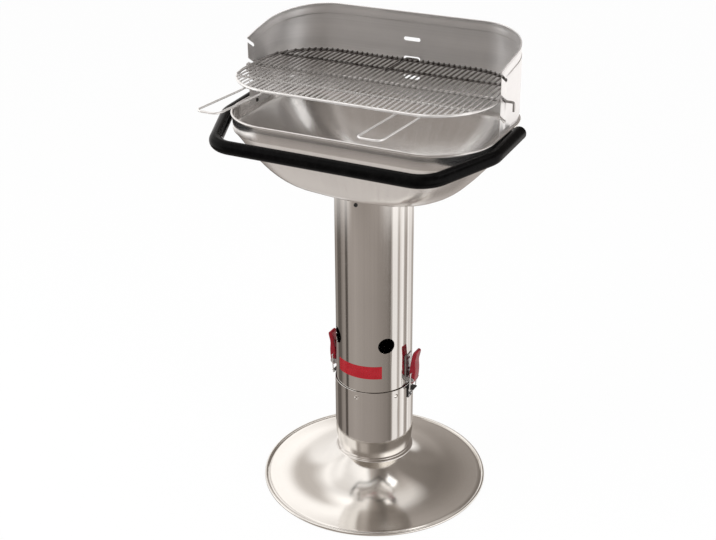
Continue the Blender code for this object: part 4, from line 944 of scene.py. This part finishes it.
def make_windshield():
    """one bent sheet with a raised panel inside a flat border, six notches and three slots"""
    loops = []
    for back, (x, y, pressed), ahead in in_threes(shield_path()):
        out = Vector((ahead[1] - back[1], -(ahead[0] - back[0]), 0)).normalized()
        outer, inner = [], []
        for z, amount, swell in shield_heights(shield_top(y), pressed):
            face = Vector((x, y, z)) + out * SHIELD_PRESS * amount
            outer.append(face + out * SHIELD_HEM_SWELL * swell)
            inner.append(face - out * (SHIELD_SHEET + SHIELD_HEM_SWELL * swell))
        loops.append(outer + inner[::-1])
    bm = bmesh.new()
    add_rings(bm, loops, capped=True)
    holes = bmesh.new()
    half = CARRIER_WIRE_RADIUS + NOTCH_PLAY
    notch = arc((0, 0), half, 90, 270, 16) + [(0.04, -half), (0.04, half)]
    to_mouth = (0, -math.cos(NOTCH_SLOPE), math.sin(NOTCH_SLOPE))
    across = (0, math.sin(NOTCH_SLOPE), math.cos(NOTCH_SLOPE))
    round_end = BACK_SLOT_HEIGHT / 2
    end = BACK_SLOT_LENGTH / 2 - round_end
    slot = arc((end, 0), round_end, -90, 90, 12) + arc((-end, 0), round_end, 90, 270, 12)
    for level in (-1, 0, 1):
        rise = level * NOTCH_PITCH
        for side in (1, -1):
            root = (side * SHIELD_X, CARRIER_Y, CARRIER_Z + rise)
            prism(holes, notch, frame_at(root, to_mouth, across), 0.008)
        prism(holes, slot, frame_at((TAB_X, SHIELD_Y, BACK_SLOT_Z + rise), (1, 0, 0), (0, 0, 1)), 0.01)
    mesh = settle(bm, [("DIFFERENCE", holes)])
    add_piece("bent_windshield", mesh, "shield_steel", "stand", ["windshield"])


def span_at(ring, x):
    """the far side of a closed outline at x, or 0 where the outline doesn't reach"""
    far = 0.0
    for p, q in zip(ring, ring[1:] + ring[:1]):
        if min(p[0], q[0]) <= x < max(p[0], q[0]):
            far = max(far, between(p[1], q[1], (x - p[0]) / (q[0] - p[0])))
    return far


def make_charcoal_grate():
    """welded wire grate whose rim follows the hull's own section"""
    below, ring = ([Vector(p) for p in hull_ring(depth)] for depth in COAL_RING_DEPTHS)
    clearance = BOWL_SHEET + COAL_WIRE_RADIUS + 2 * GAP
    path = []
    for k, point in enumerate(ring):
        along = (ring[(k + 1) % len(ring)] - ring[k - 1]).normalized()
        inward = Vector((-along.y, along.x, 0))
        run = (below[k] - point).dot(inward)
        rise = point.z - below[k].z
        path.append(point + inward * clearance * math.hypot(run, rise) / rise)
    bm = bmesh.new()
    wire(bm, path, COAL_WIRE_RADIUS, sides=12, closed=True)
    bar_z = path[0].z + COAL_WIRE_RADIUS + COAL_BAR_RADIUS - WELD_SINK
    count = int(max(p.x for p in path) / COAL_BAR_PITCH)
    for k in range(-count, count + 1):
        x = k * COAL_BAR_PITCH
        reach = span_at(path, x)
        if reach > 0.02:
            reach += COAL_WIRE_RADIUS * 0.4
            rod(bm, (x, -reach, bar_z), (x, reach, bar_z), COAL_BAR_RADIUS, 12, EDGE)
    add_piece("fire_grate", bm, "fire_wire", "charcoal_grate_body", ["charcoal_grate"])


def add_wire(name, path, radius, body, node):
    """a piece of chromed wire that stands for one node"""
    bm = bmesh.new()
    wire(bm, path, radius)
    add_piece(name, bm, "chromed_wire", body, [node])


def make_cooking_grate():
    """rim, bars with welded ends, stays, hooked carrier wire, back tab and two handles"""
    body, chrome = "cooking_grate_body", "chromed_wire"
    half_x = GRATE_HALF_X - GRATE_RIM_RADIUS
    half_y = GRATE_WIDTH / 2 - GRATE_RIM_RADIUS
    outline = rounded_rectangle(half_x, half_y, GRATE_CORNER - GRATE_RIM_RADIUS, 20, 2, 2)
    bm = bmesh.new()
    wire(bm, [(x, y + GRATE_CENTRE_Y, GRATE_RIM_Z) for x, y in outline], GRATE_RIM_RADIUS, closed=True)
    for k in range(GRATE_BAR_COUNT):
        x = (k - (GRATE_BAR_COUNT - 1) / 2) * GRATE_BAR_PITCH
        reach = span_at(outline, x) + GRATE_RIM_RADIUS * 0.4
        front, back = GRATE_CENTRE_Y - reach, GRATE_CENTRE_Y + reach
        rod(bm, (x, front, GRATE_BAR_Z), (x, back, GRATE_BAR_Z), GRATE_BAR_RADIUS, 10, EDGE)
    add_piece("grate_wires", bm, chrome, body, ["cooking_grate"])

    for offset, label in ((-STAY_OFFSET, "front"), (STAY_OFFSET, "back")):
        reach = span_at([(y, x) for x, y in outline], offset) - 1.6 * GRATE_RIM_RADIUS - GAP
        y = GRATE_CENTRE_Y + offset
        bm = bmesh.new()
        rod(bm, (-reach, y, STAY_Z), (reach, y, STAY_Z), STAY_RADIUS, 14, 0.0005)
        name = "grate_stay_" + label
        add_piece("wire_of_" + name, bm, chrome, body, [name])

    out = SHIELD_X + HOOK_REACH
    hook = [(-out, CARRIER_Y, CARRIER_Z - HOOK_DROP), (-out, CARRIER_Y, CARRIER_Z)]
    hook += [(-x, y, z) for x, y, z in hook[::-1]]
    add_wire("hooked_carrier", soften(hook, 0.004), CARRIER_WIRE_RADIUS, body, "grate_carrier_wire")

    root = GRATE_CENTRE_Y + STAY_OFFSET - STAY_RADIUS
    tip = SHIELD_Y + TAB_PAST_WALL
    half = TAB_WIDTH / 2
    tab = [(TAB_X - half, root, TAB_Z), (TAB_X - half, tip, TAB_Z)]
    tab += [(TAB_X + half, tip, TAB_Z), (TAB_X + half, root, TAB_Z)]
    add_wire("back_tab_wire", soften(tab, 0.004), TAB_WIRE_RADIUS, body, "grate_back_tab")

    root = GRATE_CENTRE_Y - STAY_OFFSET + STAY_RADIUS
    edge = GRATE_CENTRE_Y - GRATE_WIDTH / 2
    root_z = GRATE_RIM_Z - GRATE_RIM_RADIUS - HANDLE_WIRE_RADIUS - GAP
    for label, middle in HANDLE_PLACES:
        half = HANDLE_WIDTH / 2 - HANDLE_WIRE_RADIUS
        loop = [(middle - half, root, root_z), (middle - half, edge, root_z)]
        loop.append((middle - half, HANDLE_FRONT_Y, root_z + HANDLE_RISE))
        loop += [(2 * middle - x, y, z) for x, y, z in loop[::-1]]
        path = soften(loop[:3], HANDLE_RISE_BEND, 4)[:-1]
        path += soften(loop[1:4], HANDLE_CORNER, 12)[1:-1]
        path += soften(loop[2:5], HANDLE_CORNER, 12)[1:-1]
        path += soften(loop[3:], HANDLE_RISE_BEND, 4)[1:]
        name = "grate_handle_" + label
        add_wire("loop_of_" + name, path, HANDLE_WIRE_RADIUS, body, name)


def make_lever(side, label):
    """moulded lever with rounded edges, a curved grip and a recess behind it"""
    heel = [(-0.0056, -0.0058), (-0.0010, -0.0093)]
    outer = [(0.0040, -0.0062), (0.0066, 0.0080), (0.0076, 0.0260), (0.0068, 0.0440)]
    outer.append((0.0108, LEVER_LENGTH - 0.0012))
    inner = [(0.0030, LEVER_LENGTH), (-0.0020, 0.0460), (-0.0052, 0.0240), (-0.0062, 0.0040)]
    curve = smooth_loop([(PIVOT_X + x, LATCH_Z + z) for x, z in heel + outer + inner], 8)
    bm = bmesh.new()
    prism(bm, curve, side_view(side), LEVER_HALF_WIDTH)
    holes = bmesh.new()
    for x, z, radius in ((PIVOT_X, LATCH_Z, PIN_RADIUS), (BAIL_X, BAIL_TOP_Z, BAIL_WIRE_RADIUS)):
        rod(holes, (side * x, -0.02, z), (side * x, 0.02, z), radius + GAP, 16)
    pocket = [(PIVOT_X - 0.012, LATCH_Z + 0.024), (PIVOT_X - 0.0005, LATCH_Z + 0.026)]
    pocket += [(PIVOT_X + 0.0025, LATCH_Z + 0.046), (PIVOT_X - 0.008, LATCH_Z + 0.050)]
    prism(holes, pocket, side_view(side), LEVER_HALF_WIDTH - 0.003)
    mesh = settle(bm, [("BEVEL", 0.0016), ("DIFFERENCE", holes)])
    name = "latch_lever_" + label
    add_piece("moulded_" + name, mesh, "red_moulding", "lever_" + label, [name], 45)


def make_bail(side, label):
    """wire loop hinged in the lever, its cross bar caught under the hook"""
    start = LEVER_HALF_WIDTH - 0.004
    top = side * BAIL_X
    path = [(top, start, BAIL_TOP_Z), (top, BAIL_HALF_WIDTH, BAIL_TOP_Z)]
    path.append((side * BAR_X, BAIL_HALF_WIDTH, BAR_Z))
    path += [(x, -y, z) for x, y, z in path[::-1]]
    name = "latch_bail_" + label
    add_wire("wire_" + name, soften(path, 0.0016, 8), BAIL_WIRE_RADIUS, "bail_" + label, name)


def make_catch(side, label):
    """strip riveted to the pot, its upper end bent out into a shelf with a small lip"""
    wall = POT_RADIUS + GAP
    root = (wall + CATCH_SHEET + CATCH_BEND, SHELF_Z - CATCH_BEND)
    lip = (CATCH_LIP_X - CATCH_LIP, SHELF_Z - CATCH_LIP)
    outline = [(wall, CATCH_LOW), (wall + CATCH_SHEET, CATCH_LOW)]
    outline += arc(root, CATCH_BEND, 180, 90, 8) + arc(lip, CATCH_LIP, 90, 0, 6)
    outline += arc(lip, CATCH_LIP + CATCH_SHEET, 0, 90, 8)
    outline += arc(root, CATCH_BEND + CATCH_SHEET, 90, 180, 10)
    bm = bmesh.new()
    prism(bm, outline, side_view(side), CATCH_HALF_WIDTH)
    holes = bmesh.new()
    for matrix in catch_rivet_places(side):
        hole(holes, matrix, RIVET_RADIUS + GAP, 0.003)
    mesh = settle(bm, [("DIFFERENCE", holes)])
    name = "latch_catch_" + label
    add_piece("bent_" + name, mesh, "black_moulding", "stand", [name], 35)


def warm(level):
    """grey of the studio, where the dim parts are warmer than the lit ones"""
    lit = min(level, 1.0)
    return (level, level * (0.85 + 0.12 * lit), level * (0.74 + 0.21 * lit))


# what the metal sees at each bearing in degrees, 0 to the right and 90 behind, in hundredths of
# white: bright cards, dim flags and the plain walls between them, for six heights of view
ON_THE_FLOOR = [
    (-180, 64), (-150, 62), (-110, 58), (-60, 50), (-20, 80), (20, 75), (45, 50), (66, 27),
    (88, 34), (104, 58), (118, 110), (130, 115), (142, 60), (162, 60), (180, 64),
]
BELOW_THE_EYE = [
    (-180, 13), (-175, 24), (-168, 30), (-159, 31), (-156, 9), (-149, 9), (-146, 36), (-120, 40),
    (-96, 36), (-66, 34), (-45, 30), (-24, 25), (-15, 18), (-11, 30), (-7, 92), (8, 96), (12, 42),
    (16, 46), (20, 86), (32, 110), (37, 42), (48, 34), (54, 112), (61, 80), (74, 90), (81, 48),
    (95, 42), (122, 42), (131, 12), (138, 28), (157, 30), (161, 12),
]
AT_THE_EYE = [
    (-180, 115), (-154, 155), (-142, 125), (-130, 42), (-118, 25), (-88, 26), (-72, 38), (-50, 55),
    (-28, 160), (10, 160), (30, 120), (60, 135), (110, 115), (140, 105), (180, 115),
]
SKYLINE = [
    (-180, 120), (-152, 145), (-140, 80), (-132, 42), (-114, 32), (-80, 30), (-50, 50), (-26, 150),
    (8, 145), (44, 115), (58, 28), (98, 24), (112, 48), (122, 90), (140, 110), (156, 112),
    (170, 90), (180, 110),
]
ABOVE_THE_EYE = [
    (-180, 120), (-164, 95), (-148, 115), (-127, 120), (-120, 60), (-117, 36), (-104, 60),
    (-90, 55), (-76, 28), (-56, 25), (-30, 17), (-10, 30), (10, 28), (40, 25), (72, 23), (92, 20),
    (105, 24), (112, 34), (117, 52), (120, 130), (125, 130), (130, 60), (142, 62), (150, 85),
    (159, 125), (168, 105), (180, 120),
]
OVERHEAD = [
    (-180, 90), (-158, 95), (-138, 115), (-106, 125), (-96, 100), (-84, 55), (-60, 34), (-36, 20),
    (-20, 18), (0, 26), (18, 27), (34, 40), (56, 55), (78, 78), (102, 85), (120, 105), (125, 150),
    (140, 140), (152, 100), (166, 85), (180, 90),
]
ZENITH = (0.66, 0.65, 0.64)


def set_studio():
    """white to the camera, and to the metal a soft studio"""
    world = bpy.data.worlds.new("studio")
    bpy.context.scene.world = world
    world.use_nodes = True
    world.node_tree.nodes.clear()
    shop = Shop(world.node_tree)
    x, y, z = shop.split(shop.node("ShaderNodeTexCoord", output=0))
    around = shop.maths("DIVIDE", shop.maths("ARCTAN2", y, x), 2 * math.pi) + 0.5

    def walls(levels):
        return shop.ramp(around, [((angle + 180) / 360, warm(level / 100)) for angle, level in levels])

    seen = walls(ON_THE_FLOOR)
    for low, high, levels in (
        (-0.78, -0.62, BELOW_THE_EYE),
        (-0.41, -0.34, AT_THE_EYE),
        (-0.14, 0.06, SKYLINE),
        (0.34, 0.46, ABOVE_THE_EYE),
        (0.73, 0.84, OVERHEAD),
    ):
        seen = shop.mix(shop.span(z, low, high), seen, walls(levels))
    seen = shop.mix(shop.span(z, 0.972, 0.998), seen, ZENITH)
    path = shop.node("ShaderNodeLightPath")
    outputs = path.socket.node.outputs
    to_camera = Value(shop, outputs["Is Camera Ray"])
    glossy = Value(shop, outputs["Is Glossy Ray"])
    to_metal = shop.maths("MAXIMUM", glossy, Value(shop, outputs["Is Transmission Ray"]))
    seen = shop.mix(to_metal, (0.80, 0.80, 0.80), seen)
    seen = shop.mix(to_camera, seen, (1.0, 1.0, 1.0))
    background = shop.node("ShaderNodeBackground", sockets={"Color": seen, "Strength": 1.0})
    shop.node("ShaderNodeOutputWorld", sockets={"Surface": background})


def add_softbox(name, place, aim, size, energy, mirrored=False):
    """lamp that lights softly; a mirrored one also shows in the metal"""
    data = bpy.data.lights.new(name, "AREA")
    data.shape = "RECTANGLE"
    data.size, data.size_y = size
    data.energy = energy
    lamp = add_object(name, data)
    turn = (Vector(aim) - Vector(place)).to_track_quat("-Z", "Y").to_matrix().to_4x4()
    lamp.matrix_world = Matrix.Translation(place) @ turn
    lamp.visible_glossy = mirrored
    lamp.visible_camera = False


def make_floor():
    """pale floor that stays white to the camera and keeps a soft shadow"""
    shop = start_finish("pale_floor")
    shop.tree.nodes.clear()
    speck = shop.noise(shop.place(), 3.0, 2.0, 0.5)
    pale = shop.mix(speck, (0.93, 0.93, 0.93), (0.96, 0.96, 0.96))
    paint = shop.node("ShaderNodeBsdfDiffuse", sockets={"Color": pale})
    white = shop.node("ShaderNodeEmission", sockets={"Color": (1, 1, 1, 1), "Strength": 1.0})
    path = shop.node("ShaderNodeLightPath")
    lift = Value(shop, path.socket.node.outputs["Is Camera Ray"]) * 0.93
    surface = shop.node("ShaderNodeMixShader", sockets={0: lift, 1: paint, 2: white})
    shop.node("ShaderNodeOutputMaterial", sockets={"Surface": surface})
    bm = bmesh.new()
    lathe(bm, [(0, -0.0005), (1.0, -0.0005), (6.0, -0.0005)], 64, wrap=False)
    mesh = take_mesh(bm, "floor")
    mesh.materials.append(FINISHES["pale_floor"])
    if mesh.polygons[0].normal.z < 0:
        mesh.flip_normals()
    floor = add_object("floor", mesh)
    floor.visible_glossy = False


def dress_plain_nodes():
    """the small fittings keep their solids and take a finish"""
    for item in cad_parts.values():
        if not item.hide_render:
            item.data.materials.clear()
            item.data.materials.append(FINISHES["zinc_plate"])


def main():
    set_camera()
    bpy.context.scene.view_settings.view_transform = "Standard"
    make_finishes()
    make_dish()
    make_pot()
    make_column()
    make_label()
    add_screws("collar_screw", COLLAR_SCREW_LENGTH, collar_screw_places())
    add_screws("rail_screw", RAIL_SCREW_LENGTH, rail_screw_places())
    make_bowl()
    make_rail()
    make_windshield()
    make_charcoal_grate()
    make_cooking_grate()
    for label, side in SIDES:
        make_lever(side, label)
        make_bail(side, label)
        make_catch(side, label)
    dress_plain_nodes()
    set_studio()
    add_softbox("key", (-1.5, -1.9, 2.6), (0, 0, 0.5), (1.3, 1.3), 22)
    add_softbox("right_card", (2.2, -0.9, 1.9), (-0.2, 0, 0.9), (0.9, 1.2), 14)
    add_softbox("left_card", (-2.2, -0.8, 1.9), (0.2, 0, 0.9), (0.9, 1.2), 9)
    add_softbox("bowl_card", (0.62, 0.18, 1.62), (-0.2, 0, 0.78), (0.42, 0.34), 0.62, mirrored=True)
    make_floor()


main()
